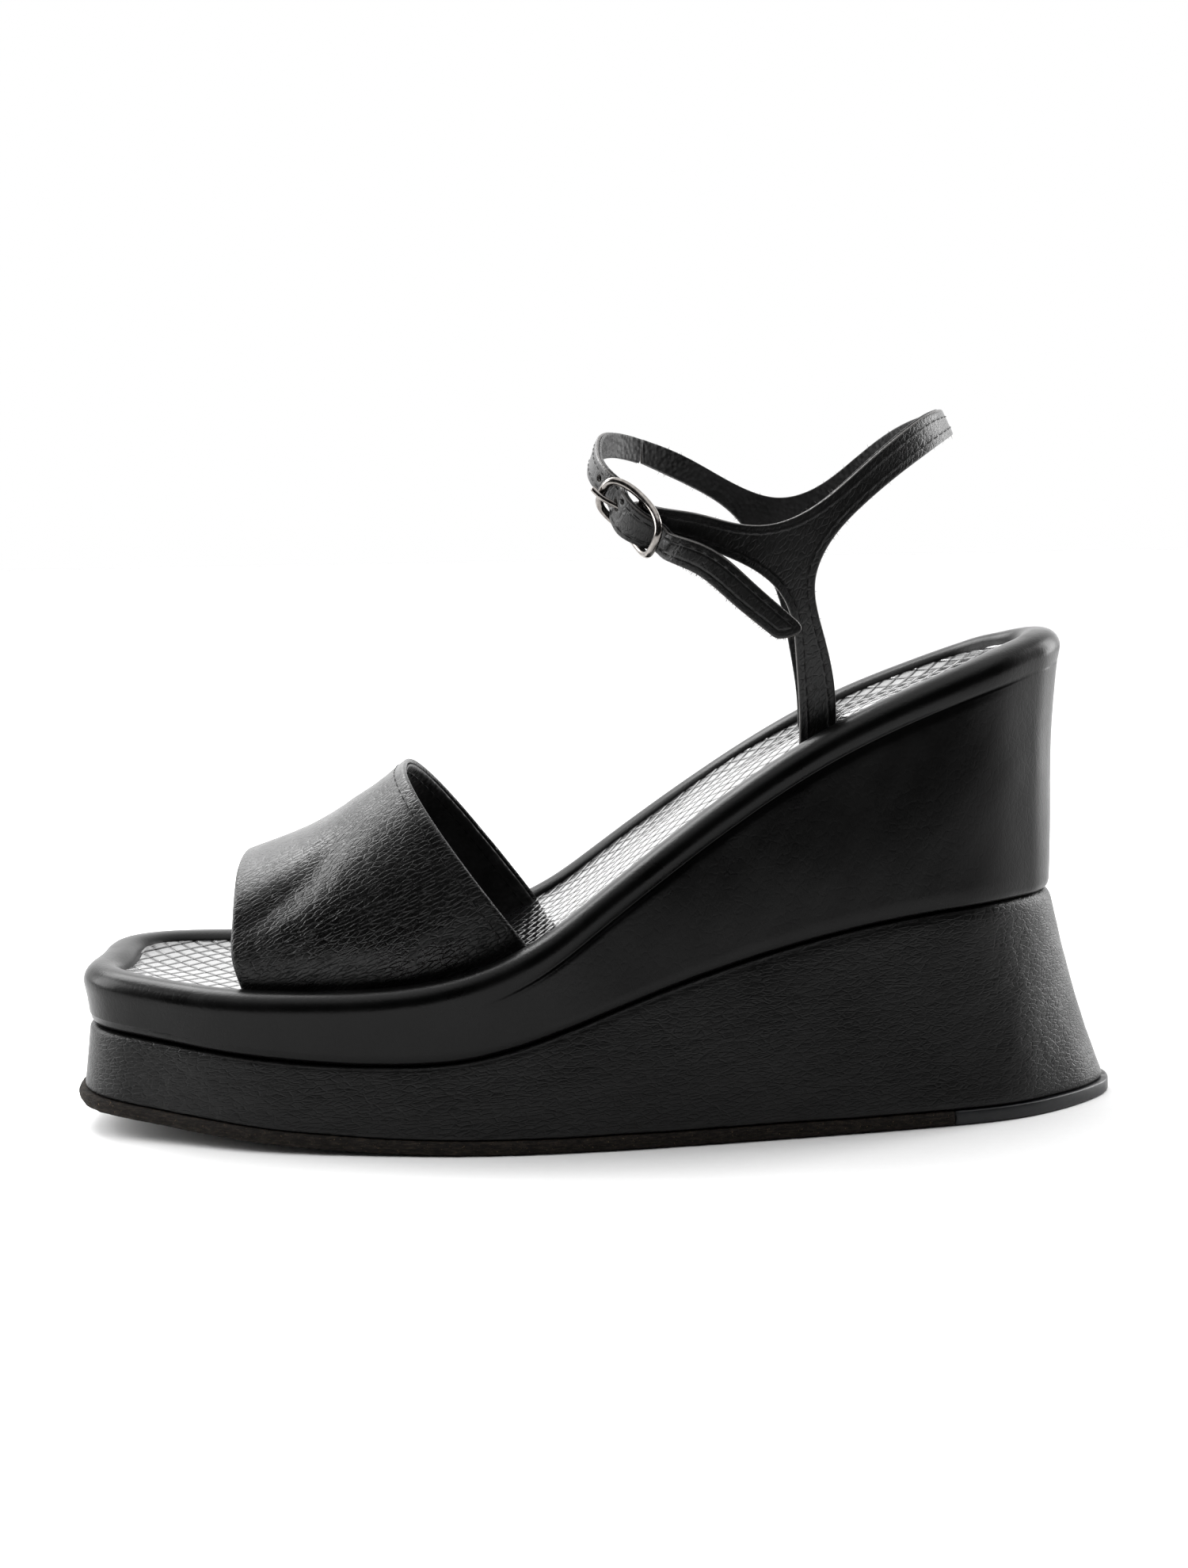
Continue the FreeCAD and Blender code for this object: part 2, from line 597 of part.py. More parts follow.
upper_core = boolean("Common", "UpperCore", core_block, wall_layer)
filler_ring = boolean("Cut", "FillerRing", filler_outside, filler_inside)
rim_filler = boolean("Common", "RimFiller", filler_ring, filler_layer)
wall_solid = boolean("Common", "WallSolid", wall_block, wall_layer)
roll_solid = boolean("Common", "RollSolid", roll_block, roll_layer)
cover_solid = fuse("CoverSolid", wall_solid, roll_solid)
sock_space = boolean("Common", "SockSpace", sock_block, roll_layer)

tabs = fuse("Tabs", outer_anchor, inner_anchor)
node("upper_wedge_core", boolean("Cut", "UpperCorePiece", upper_core, tabs))
node("rim_filler", cut_all("RimFillerPiece", rim_filler, band_space, tabs))
node("upper_wedge_cover",
     cut_all("UpperCover", cover_solid, upper_core, rim_filler, sock_space, band_space, tabs))
for name, slab in (("insole_board", board_layer), ("sock_pad", pad_layer), ("sock_lining", sock_layer)):
    full = boolean("Common", name + "_full", sock_block, slab)
    node(name, cut_all(name + "_piece", full, band_space, tabs))

# ---------------------------------------------------------------- checks and files
doc.recompute()
for item in doc.Objects:
    if "Invalid" in item.State or "Error" in item.State:
        raise RuntimeError("%s failed: %s" % (item.Name, item.State))
faulty = [name for name, item in NODES.items()
          if item.Shape.isNull() or not item.Shape.isValid() or not item.Shape.Solids]
if faulty:
    raise RuntimeError("no valid solid in: " + ", ".join(faulty))
for name, item in NODES.items():
    shape = item.Shape
    bounds = shape.optimalBoundingBox(False)
    shape.exportStep("parts/%s.step" % name)
    print("%-24s solids %d  volume %9.1f  x %7.1f..%6.1f  y %6.1f..%5.1f  z %6.1f..%6.1f" % (
        name, len(shape.Solids), shape.Volume, bounds.XMin, bounds.XMax,
        bounds.YMin, bounds.YMax, bounds.ZMin, bounds.ZMax))
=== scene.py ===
# %% [markdown]
# # A black leather wedge sandal
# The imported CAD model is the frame: it says where every piece sits and what moves. This
# notebook dresses it in leather, cork, rubber and nickel, one piece at a time.

# %% Load the frame
import math
import random

import bpy
import numpy as np
from mathutils import Matrix, Vector
from mathutils.geometry import delaunay_2d_cdt


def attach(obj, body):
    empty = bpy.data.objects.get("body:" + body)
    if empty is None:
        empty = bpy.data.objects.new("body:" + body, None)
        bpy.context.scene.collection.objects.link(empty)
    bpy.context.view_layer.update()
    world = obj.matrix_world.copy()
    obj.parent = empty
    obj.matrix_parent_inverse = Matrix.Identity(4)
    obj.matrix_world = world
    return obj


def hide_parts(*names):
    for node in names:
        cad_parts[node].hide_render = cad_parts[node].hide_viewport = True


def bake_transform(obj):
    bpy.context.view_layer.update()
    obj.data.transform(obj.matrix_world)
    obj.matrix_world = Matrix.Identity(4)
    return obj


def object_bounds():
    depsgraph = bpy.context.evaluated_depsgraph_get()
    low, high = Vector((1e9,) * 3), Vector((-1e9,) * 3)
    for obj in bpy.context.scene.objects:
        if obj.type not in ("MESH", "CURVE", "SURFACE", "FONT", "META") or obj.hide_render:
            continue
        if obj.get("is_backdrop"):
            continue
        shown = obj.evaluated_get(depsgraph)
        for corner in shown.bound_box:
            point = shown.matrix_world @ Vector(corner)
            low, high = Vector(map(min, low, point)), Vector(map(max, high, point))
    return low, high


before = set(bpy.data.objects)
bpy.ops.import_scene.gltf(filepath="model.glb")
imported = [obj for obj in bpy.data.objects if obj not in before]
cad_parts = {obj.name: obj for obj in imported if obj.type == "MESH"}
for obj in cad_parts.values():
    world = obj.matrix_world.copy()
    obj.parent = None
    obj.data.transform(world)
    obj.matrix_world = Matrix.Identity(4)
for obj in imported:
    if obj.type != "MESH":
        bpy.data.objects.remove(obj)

cad_box = [list(corner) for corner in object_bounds()]
MM = 0.001
print("CAD box in mm:", [[round(v / MM, 1) for v in corner] for corner in cad_box])

# %% [markdown]
# Every line on this shoe is a fair curve: a shoemaker draws it through a few pins with a
# flexible batten. A cubic spline does the same, so a list of pins is all an outline needs.
# Blender's own curves could do it too, but a small function gives exact numbers to build on.

# %% Fair curves through a few pins
def fair_curve(pins, knots=None, closed=False):
    """A cubic spline through the pins; returns a function of the knot value and the last knot."""
    pins = np.array(pins, float)
    if closed:
        pins = np.vstack([pins, pins[:1]])
    shape = pins.shape[1:]
    pins = pins.reshape(len(pins), -1)
    if knots is None:
        knots = np.concatenate([[0], np.cumsum(np.linalg.norm(np.diff(pins, axis=0), axis=1))])
    knots = np.array(knots, float)
    gap = np.diff(knots)
    count = len(pins)
    rows = np.zeros((count, count))
    right = np.zeros(pins.shape)
    slope = np.diff(pins, axis=0) / gap[:, None]
    for i in range(1, count - 1):
        rows[i, i - 1: i + 2] = [gap[i - 1], 2 * (gap[i - 1] + gap[i]), gap[i]]
        right[i] = 6 * (slope[i] - slope[i - 1])
    if closed:
        rows[0, [0, 1, -2, -1]] = [2 * gap[0], gap[0], gap[-1], 2 * gap[-1]]
        right[0] = 6 * (slope[0] - slope[-1])
        rows[-1, [0, -1]] = [1, -1]
    else:
        rows[0, 0] = rows[-1, -1] = 1
    bend = np.linalg.solve(rows, right)

    def at(value):
        value = np.clip(np.asarray(value, float), knots[0], knots[-1])
        spot = value.reshape(-1)
        i = np.clip(np.searchsorted(knots, spot) - 1, 0, count - 2)
        h = gap[i][:, None]
        a = (knots[i + 1] - spot)[:, None] / h
        b = 1 - a
        place = (a * pins[i] + b * pins[i + 1]
                 + ((a ** 3 - a) * bend[i] + (b ** 3 - b) * bend[i + 1]) * h * h / 6)
        return place.reshape(value.shape + shape)

    return at, knots[-1]


def height_line(pins):
    """A side profile as a function: height at each X."""
    pins = sorted(pins)
    return fair_curve([z for x, z in pins], knots=[x for x, z in pins])[0]


def shared_loop(pins, guide, count):
    """A closed plan outline sampled at the same shares of its pins as the guide outline."""
    ring = np.array(guide + guide[:1], float)
    knots = np.concatenate([[0], np.cumsum(np.linalg.norm(np.diff(ring, axis=0), axis=1))])
    at, last = fair_curve(pins, knots=knots, closed=True)
    return at(np.linspace(0, last, count, endpoint=False))


print("a fair curve through (0, 0), (5, 1), (10, 0) is %.2f high at its quarter"
      % fair_curve([(0, 0), (5, 1), (10, 0)], knots=[0, 5, 10])[0](2.5)[1])

# %% [markdown]
# The sandal's own lines, in millimetres, are the same ones the CAD model was drawn with:
# three plan outlines and three side profiles. The heel's back comes first, then the outer side.

# %% The sandal's outlines
SOLE_PINS = [
    (128.0, 3.0), (126.9, -2.6), (123.2, -8.2), (114.0, -17.0), (102.6, -24.5), (82.3, -31.3),
    (43.7, -39.3), (6.2, -45.8), (-30.3, -48.6), (-58.0, -46.2), (-88.0, -40.0), (-110.0, -31.4),
    (-122.5, -25.0), (-127.6, -16.0), (-128.0, 2.5), (-127.6, 21.0), (-122.5, 31.0),
    (-106.0, 40.5), (-76.0, 47.6), (-45.0, 48.4), (-10.0, 44.2), (30.0, 37.8),
    (70.0, 34.8), (98.0, 31.2), (114.0, 23.2), (123.2, 14.2), (126.9, 8.6),
]
LOWER_TOP_PINS = [
    (112.2, 3.0), (111.3, -2.4), (108.4, -7.6), (102.6, -14.6), (95.0, -20.3), (78.0, -26.2),
    (42.0, -33.6), (6.0, -39.6), (-30.3, -42.2), (-56.0, -40.0), (-84.0, -34.6), (-103.5, -27.0),
    (-115.0, -20.5), (-120.6, -13.5), (-121.2, 2.5), (-120.6, 18.0), (-115.0, 26.5),
    (-100.0, 35.0), (-73.0, 41.4), (-44.0, 42.2), (-10.0, 38.8), (29.0, 33.6),
    (67.0, 30.8), (92.0, 26.6), (102.6, 20.6), (108.4, 13.6), (111.3, 8.4),
]
LAST_PINS = [
    (112.6, 3.0), (111.8, -2.8), (109.2, -8.2), (104.4, -13.6), (96.0, -20.2), (80.0, -26.6),
    (44.0, -34.4), (6.0, -41.6), (-30.0, -45.8), (-58.0, -43.6), (-88.0, -37.6), (-108.0, -29.4),
    (-119.0, -22.6), (-124.4, -14.5), (-124.9, 2.5), (-124.4, 19.5), (-119.0, 28.4),
    (-103.0, 37.8), (-74.0, 44.6), (-45.0, 45.4), (-10.0, 41.4), (30.0, 35.0),
    (70.0, 31.6), (96.0, 26.2), (104.4, 19.6), (109.2, 14.2), (111.8, 8.8),
]
LOWER_TOP_HEIGHT = 53.2
ground_at = height_line([
    (140, 0.0), (60, 0.0), (10, 0.0), (-35, 0.0), (-70, 1.3), (-100, 3.7), (-140, 7.6),
])
seam_at = height_line([
    (140, 52.2), (115, 52.1), (83.2, 50.9), (44.7, 44.5), (7.0, 33.1), (-11.6, 26.4),
    (-30.0, 21.6), (-48.3, 20.2), (-85.8, 22.0), (-116.0, 24.8), (-140.0, 25.2),
])
rim_at = height_line([
    (140, 122.5), (115, 117.0), (100, 113.0), (80, 106.2), (60, 98.0), (40, 87.0), (20, 73.5),
    (0.0, 58.7), (-11.0, 50.7), (-25.0, 43.6), (-42.0, 39.2), (-65.0, 37.3), (-92.0, 37.3),
    (-118.0, 39.2), (-140.0, 40.6),
])
OUTSOLE_THICK = 3.4


def outward(loop):
    """Unit normals that point out of a closed loop."""
    along = np.roll(loop, -1, axis=0) - np.roll(loop, 1, axis=0)
    along /= np.linalg.norm(along, axis=1, keepdims=True)
    return np.stack([-along[:, 1], along[:, 0]], axis=1)


def inward(loop):
    """Unit normals that point into a closed loop, whichever way it runs."""
    following = np.roll(loop, -1, axis=0)
    area = np.sum(loop[:, 0] * following[:, 1] - loop[:, 1] * following[:, 0])
    return outward(loop) * (1 if area > 0 else -1)


def inset(loop, depth):
    """The loop moved inwards in small steps, eased at each step so that corners stay clean."""
    steps = max(1, math.ceil(abs(depth)))
    moved = loop.copy()
    for _ in range(steps):
        moved = moved - outward(moved) * depth / steps
        if depth > 1:
            moved = moved * 0.7 + (np.roll(moved, 1, axis=0) + np.roll(moved, -1, axis=0)) * 0.15
    return moved


AROUND = 640
sole_loop = shared_loop(SOLE_PINS, SOLE_PINS, AROUND)
lower_top_loop = shared_loop(LOWER_TOP_PINS, SOLE_PINS, AROUND)
last_loop = shared_loop(LAST_PINS, SOLE_PINS, AROUND)
print("sole %.1f mm long, %.1f mm wide" % (np.ptp(sole_loop[:, 0]), np.ptp(sole_loop[:, 1])))

# %% [markdown]
# Materials are node graphs. One small function adds a node with its settings and its links;
# another turns a paint-chip hex colour into the linear numbers that the renderer works in.

# %% Helpers for materials
def hex_colour(code):
    """An sRGB hex colour as linear RGBA."""
    parts = [int(code[i:i + 2], 16) / 255 for i in (0, 2, 4)]
    return [c / 12.92 if c <= 0.04045 else ((c + 0.055) / 1.055) ** 2.4 for c in parts] + [1.0]


def feed(tree, node, links):
    """Links a node's inputs; a source is a socket, or a node whose first working output is meant."""
    for key, source in links.items():
        if isinstance(source, bpy.types.Node):
            source = next(socket for socket in source.outputs if socket.enabled)
        tree.links.new(source, node.inputs[key])


def add_node(tree, kind, links=None, settings=None, **values):
    """Adds a node: links feed its inputs, settings are its properties, values fill its inputs."""
    node = tree.nodes.new("ShaderNode" + kind)
    for key, value in (settings or {}).items():
        setattr(node, key, value)
    for key, value in values.items():
        node.inputs[key.replace("_", " ")].default_value = value
    feed(tree, node, links or {})
    return node


def new_finish(name, **values):
    """A material, its node tree and its Principled shader with plain values set on it."""
    finish = bpy.data.materials.new(name)
    finish.use_nodes = True
    shader = finish.node_tree.nodes["Principled BSDF"]
    for key, value in values.items():
        shader.inputs[key.replace("_", " ")].default_value = value
    return finish, finish.node_tree, shader


def in_mm(tree, cell=(1, 1, 1), turn=(0, 0, 0)):
    """Object coordinates counted in cells of a size in mm, turned for grain that runs one way."""
    where = add_node(tree, "TexCoord").outputs["Object"]
    return add_node(tree, "Mapping", {"Vector": where}, {"vector_type": "TEXTURE"},
                    Scale=[size * MM for size in cell], Rotation=turn)


RGBA, TO_EDGE = {"data_type": "RGBA"}, {"feature": "DISTANCE_TO_EDGE"}
print("material helpers ready")

# %% [markdown]
# Smooth black calf leather is dyed through, then pigmented and lightly waxed. The eye reads it
# by three things: a fine pore grain well under a millimetre, longer creases where it was
# pulled over a form, and a sheen that is broad and never mirror-like. Grain is drawn
# at 0.6 mm rather than the real 0.3 mm, so that it shows at this size.

# %% Leather
PORE, STITCH_MARGIN = 0.6, 1.8


def calf_leather(name, dark, light, rough, shine, grain, crease, cell, turn=(0, 0, 0), stitched=False):
    """Pigmented calf: pores, creases in cells of a size in mm, gloss that varies with handling."""
    finish, tree, shader = new_finish(name, IOR=1.5, Specular_IOR_Level=shine)
    place, pulled = in_mm(tree), in_mm(tree, cell, turn)
    handled = add_node(tree, "TexNoise", {"Vector": place}, Scale=0.055, Detail=4.0, Roughness=0.6)
    worn = add_node(tree, "MapRange", {"Value": handled}, From_Min=0.35, From_Max=0.7)
    surface = add_node(tree, "Mix", {"Factor": worn}, RGBA, A=hex_colour(dark), B=hex_colour(light))
    gloss = add_node(tree, "MapRange", {"Value": handled}, From_Min=0.3, From_Max=0.75,
                     To_Min=rough - 0.05, To_Max=rough + 0.09)
    pores = add_node(tree, "TexVoronoi", {"Vector": place}, TO_EDGE, Scale=1 / PORE)
    pores = add_node(tree, "MapRange", {"Value": pores}, From_Max=0.16)
    relief = add_node(tree, "Bump", {"Height": pores}, Strength=grain, Distance=0.04 * MM)
    folds = add_node(tree, "TexNoise", {"Vector": pulled}, Scale=0.45, Detail=6.0, Roughness=0.6,
                     Distortion=0.5)
    relief = add_node(tree, "Bump", {"Height": folds, "Normal": relief}, Strength=0.6,
                      Distance=crease * 3 * MM)
    stray = add_node(tree, "TexNoise", {"Vector": pulled}, Scale=0.8, Detail=3.0).outputs["Color"]
    bent = add_node(tree, "Mix", {"A": pulled, "B": stray}, {"data_type": "VECTOR"}, Factor=0.35)
    lines = add_node(tree, "TexVoronoi", {"Vector": bent}, TO_EDGE, Scale=1.5)
    lines = add_node(tree, "MapRange", {"Value": lines}, From_Max=0.14)
    relief = add_node(tree, "Bump", {"Height": lines, "Normal": relief}, Strength=0.6,
                      Distance=crease * MM)
    if stitched:
        margin = add_node(tree, "Attribute", settings={"attribute_name": "margin"}).outputs["Fac"]
        off_seam = add_node(tree, "Math", {0: margin}, {"operation": "SUBTRACT"})
        off_seam.inputs[1].default_value = STITCH_MARGIN
        off_seam = add_node(tree, "Math", {0: off_seam}, {"operation": "ABSOLUTE"})
        groove = add_node(tree, "MapRange", {"Value": off_seam}, From_Max=0.5)
        relief = add_node(tree, "Bump", {"Height": groove, "Normal": relief}, Strength=0.6,
                          Distance=0.2 * MM)
        raw = add_node(tree, "MapRange", {"Value": margin}, From_Min=0.26, From_Max=0.05)
        surface = add_node(tree, "Mix", {"Factor": raw, "A": surface}, RGBA, B=hex_colour("4b4846"))
    feed(tree, shader, {"Base Color": surface, "Roughness": gloss, "Normal": relief})
    return finish


wall_leather = calf_leather("black_calf_drawn_over_the_wedge", "010101", "040404", 0.30, 0.16, 0.12,
                            0.018, (1.6, 1.6, 2.6))
sole_leather = calf_leather("black_calf_creased_over_the_sole", "020202", "070707", 0.38, 0.24, 0.25,
                            0.075, (2.8, 1.6, 0.9), (0.0, -0.12, 0.0))
band_leather = calf_leather("black_calf_lasted_over_the_toes", "020202", "060606", 0.28, 0.36, 0.30,
                            0.10, (2.6, 1.3, 0.9), (0.0, -0.5, 0.0))
strap_leather = calf_leather("black_calf_cut_in_straps", "0c0c0c", "171717", 0.36, 0.34, 0.22,
                             0.07, (0.9, 1.6, 2.4), (0.0, 0.5, 0.0), stitched=True)
print("four calf finishes")

# %% [markdown]
# The lining is pigskin: matt, with a soft pebble about 1.2 mm across, and it greys where it
# bends. Voronoi cells make a good pebble because each has its own rounded top.

# %% Lining leather
lining_leather, tree, shader = new_finish("grey_black_pigskin_lining", IOR=1.45, Sheen_Weight=0.08,
                                          Sheen_Roughness=0.5, Specular_IOR_Level=0.4)
place = in_mm(tree)
pebble = add_node(tree, "TexVoronoi", {"Vector": place}, {"feature": "SMOOTH_F1"}, Scale=1 / 1.2,
                  Smoothness=0.6)
patches = add_node(tree, "TexNoise", {"Vector": place}, Scale=0.09, Detail=5.0)
patches = add_node(tree, "MapRange", {"Value": patches}, From_Min=0.35, From_Max=0.7)
tone = add_node(tree, "Mix", {"Factor": patches}, RGBA, A=hex_colour("0d0d0d"), B=hex_colour("222122"))
gloss = add_node(tree, "MapRange", {"Value": patches}, To_Min=0.44, To_Max=0.60)
relief = add_node(tree, "Bump", {"Height": pebble}, Strength=0.8, Distance=-0.3 * MM)
feed(tree, shader, {"Base Color": tone, "Roughness": gloss, "Normal": relief})
print("lining:", lining_leather.name)

# %% [markdown]
# The sock that the foot stands on is leather pressed between heated plates into diamond
# scales, then glazed, so each scale has a glossy top and a dull outline. The scales themselves
# are modelled; the material adds the glaze and fine scuffs, and paints shade into the base colour:
# darker in the outlines between scales, lighter on their crests.

# %% Embossed sock leather
sock_leather, tree, shader = new_finish("black_glazed_leather_embossed_with_scales", IOR=1.5,
                                        Coat_Roughness=0.06)
place = in_mm(tree)
rise = add_node(tree, "Attribute", settings={"attribute_name": "rise"}).outputs["Fac"]
crest = add_node(tree, "MapRange", {"Value": rise}, From_Min=0.15, From_Max=0.75)
# painted shade and highlight: by the scale's height, the base colour is darker in the outlines between scales
# and lighter on the crests
tone = add_node(tree, "Mix", {"Factor": crest}, RGBA, A=hex_colour("010101"), B=hex_colour("131314"))
gloss = add_node(tree, "MapRange", {"Value": crest}, To_Min=0.7, To_Max=0.16)
glaze = add_node(tree, "MapRange", {"Value": crest}, To_Max=0.6)
scuff = add_node(tree, "TexNoise", {"Vector": in_mm(tree, (14, 2, 2))}, Scale=1.0, Detail=5.0)
fine = add_node(tree, "TexVoronoi", {"Vector": place}, TO_EDGE, Scale=1 / PORE)
fine = add_node(tree, "MapRange", {"Value": fine}, From_Max=0.15)
relief = add_node(tree, "Bump", {"Height": fine}, Strength=0.15, Distance=0.04 * MM)
relief = add_node(tree, "Bump", {"Height": scuff, "Normal": relief}, Strength=0.3, Distance=0.08 * MM)
feed(tree, shader, {"Base Color": tone, "Roughness": gloss, "Coat Weight": crest,
                    "Specular IOR Level": glaze, "Normal": relief})
print("sock:", sock_leather.name)

# %% [markdown]
# The outsole is compressed leather board. Its trimmed edge shows torn fibres, inked
# black but tan where the ink didn't take, so it is rough, streaky and speckled.

# %% Leather board edge
board_edge, tree, shader = new_finish("blackened_leather_board", IOR=1.45, Specular_IOR_Level=0.2)
streaks = add_node(tree, "TexNoise", {"Vector": in_mm(tree, (2.6, 2.6, 0.5))}, Scale=1.1, Detail=8.0,
                   Roughness=0.75)
specks = add_node(tree, "TexNoise", {"Vector": in_mm(tree)}, Scale=1.9, Detail=6.0, Roughness=0.7)
inked = add_node(tree, "MapRange", {"Value": streaks}, From_Min=0.46, From_Max=0.72)
tone = add_node(tree, "Mix", {"Factor": inked}, RGBA, A=hex_colour("14110f"), B=hex_colour("3a332c"))
bare = add_node(tree, "MapRange", {"Value": specks}, From_Min=0.62, From_Max=0.70)
tone = add_node(tree, "Mix", {"Factor": bare, "A": tone}, RGBA, B=hex_colour("7d6c55"))
gloss = add_node(tree, "MapRange", {"Value": specks}, From_Min=0.3, From_Max=0.7, To_Min=0.7, To_Max=0.95)
relief = add_node(tree, "Bump", {"Height": streaks}, Strength=0.9, Distance=0.45 * MM)
relief = add_node(tree, "Bump", {"Height": specks, "Normal": relief}, Strength=0.7, Distance=0.3 * MM)
feed(tree, shader, {"Base Color": tone, "Roughness": gloss, "Normal": relief})
print("outsole edge:", board_edge.name)

# %% [markdown]
# Three small finishes are left. The top lift is moulded rubber with a dull bloom, the buckle is
# nickel plate that has hazed a little with wear, and the thread is twisted and waxed.

# %% Moulded rubber, nickel and thread
lift_rubber, tree, shader = new_finish("black_moulded_rubber", IOR=1.52, Specular_IOR_Level=0.35)
bloom = add_node(tree, "TexNoise", {"Vector": in_mm(tree)}, Scale=0.35, Detail=6.0)
bloom = add_node(tree, "MapRange", {"Value": bloom}, From_Min=0.35, From_Max=0.7)
tone = add_node(tree, "Mix", {"Factor": bloom}, RGBA, A=hex_colour("08090c"), B=hex_colour("101116"))
gloss = add_node(tree, "MapRange", {"Value": bloom}, To_Min=0.34, To_Max=0.5)
relief = add_node(tree, "Bump", {"Height": bloom}, Strength=0.3, Distance=0.08 * MM)
feed(tree, shader, {"Base Color": tone, "Roughness": gloss, "Normal": relief})

nickel, tree, shader = new_finish("hazed_nickel_plate", Metallic=1.0)
haze = add_node(tree, "TexNoise", {"Vector": in_mm(tree)}, Scale=0.9, Detail=6.0)
haze = add_node(tree, "MapRange", {"Value": haze}, From_Min=0.35, From_Max=0.7)
tone = add_node(tree, "Mix", {"Factor": haze}, RGBA, A=hex_colour("6d6966"), B=hex_colour("8c8884"))
gloss = add_node(tree, "MapRange", {"Value": haze}, To_Min=0.12, To_Max=0.24)
relief = add_node(tree, "Bump", {"Height": haze}, Strength=0.15, Distance=0.02 * MM)
feed(tree, shader, {"Base Color": tone, "Roughness": gloss, "Normal": relief})

thread, tree, shader = new_finish("black_waxed_polyester_thread", IOR=1.5, Specular_IOR_Level=0.2)
twist = add_node(tree, "TexWave", {"Vector": in_mm(tree)}, {"bands_direction": "DIAGONAL"}, Scale=1.6,
                 Distortion=0.4).outputs["Fac"]
tone = add_node(tree, "Mix", {"Factor": twist}, RGBA, A=hex_colour("050505"), B=hex_colour("0b0b0b"))
gloss = add_node(tree, "MapRange", {"Value": twist}, To_Min=0.42, To_Max=0.6)
relief = add_node(tree, "Bump", {"Height": twist}, Strength=0.5, Distance=0.08 * MM)
feed(tree, shader, {"Base Color": tone, "Roughness": gloss, "Normal": relief})
print("small finishes:", lift_rubber.name, nickel.name, thread.name)

# %% [markdown]
# The pieces inside never show on a finished shoe, but each has its own stuff: cork granules
# about 2.5 mm across, open foam, a cord of foam in the rim, and flecked cellulose board.

# %% Hidden materials
def granular(name, low, high, size, rough):
    """Granules of two tones pressed together, as cork, foam and fibre board are."""
    finish, tree, shader = new_finish(name, IOR=1.4)
    grains = add_node(tree, "TexVoronoi", {"Vector": in_mm(tree)}, Scale=1 / size)
    tone = add_node(tree, "Mix", {"Factor": grains}, RGBA, A=hex_colour(low), B=hex_colour(high))
    gloss = add_node(tree, "MapRange", {"Value": grains}, To_Min=rough, To_Max=rough + 0.1)
    relief = add_node(tree, "Bump", {"Height": grains}, Strength=0.6, Distance=0.3 * MM)
    feed(tree, shader, {"Base Color": tone, "Roughness": gloss, "Normal": relief})
    return finish


cork = granular("pressed_cork_composite", "6b4526", "b98a57", 2.5, 0.8)
foam = granular("open_cell_latex_foam", "b9ae92", "e2dcc8", 0.8, 0.85)
insole_board = granular("cellulose_insole_board", "8a7458", "b7a384", 1.2, 0.8)
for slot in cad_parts["insole_board"].material_slots:
    slot.material = insole_board
print("hidden finishes:", cork.name, foam.name, insole_board.name)

# %% [markdown]
# Most pieces here are skins swept round the shoe, so they are grids: rows of points joined
# into quads. A grid built in code gives even quads that bend light cleanly, with no seams.
# Pieces name the finish they take and, where they have them, the CAD nodes they stand for and the body they
# move with.

# %% Helpers for pieces
def make_piece(name, points, faces, finish, body="root", stands_for=(), marks=None):
    """A smooth-shaded piece from points in millimetres; marks are named values at each point."""
    mesh = bpy.data.meshes.new(name)
    mesh.from_pydata((np.asarray(points, float) * MM).tolist(), [], [tuple(map(int, f)) for f in faces])
    mesh.materials.append(finish)
    mesh.shade_smooth()
    for mark, values in (marks or {}).items():
        layer = mesh.attributes.new(mark, "FLOAT", "POINT")
        layer.data.foreach_set("value", np.asarray(values, np.float32))
    piece = bpy.data.objects.new(name, mesh)
    bpy.context.scene.collection.objects.link(piece)
    if stands_for:
        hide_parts(*stands_for)
    if body:
        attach(piece, body)
    return piece


def grid_faces(rows, columns, wrap_rows=False, wrap_columns=False, first=0):
    """Quads over a grid of points stored row by row."""
    faces = []
    for r in range(rows if wrap_rows else rows - 1):
        for c in range(columns if wrap_columns else columns - 1):
            r2, c2 = (r + 1) % rows, (c + 1) % columns
            faces.append((first + r * columns + c, first + r * columns + c2,
                          first + r2 * columns + c2, first + r2 * columns + c))
    return faces


def waves(points, length_mm, height_mm, seed):
    """Gentle unevenness: a few crossing waves of about one length, the same on every run."""
    chance = random.Random(seed)
    total = np.zeros(len(points))
    for _ in range(9):
        heading = np.array([chance.gauss(0, 1) for _ in range(3)])
        heading *= 2 * math.pi / (length_mm * chance.uniform(0.7, 1.5) * np.linalg.norm(heading))
        total += np.sin(points @ heading + chance.uniform(0, 6.3))
    return total * height_mm / 3


print("piece helpers ready; a 3 by 3 grid has", len(grid_faces(3, 3)), "faces")

# %% [markdown]
# The wedge is in two tiers, each a cork block with a leather cover drawn over it. The lower
# cover starts on the outsole, flares inwards and turns under at the seam between the tiers.
# It is a grid: round the shoe one way, up the wall the other.

# %% Lower tier's cover
def lower_wall(share_up, depth, height):
    """A loop round the lower tier: how far up its taper, how far inside it, at what height."""
    loop = sole_loop * (1 - share_up)[:, None] + lower_top_loop * share_up[:, None]
    loop = loop - outward(sole_loop) * np.asarray(depth).reshape(-1, 1)
    return np.column_stack([loop, height])


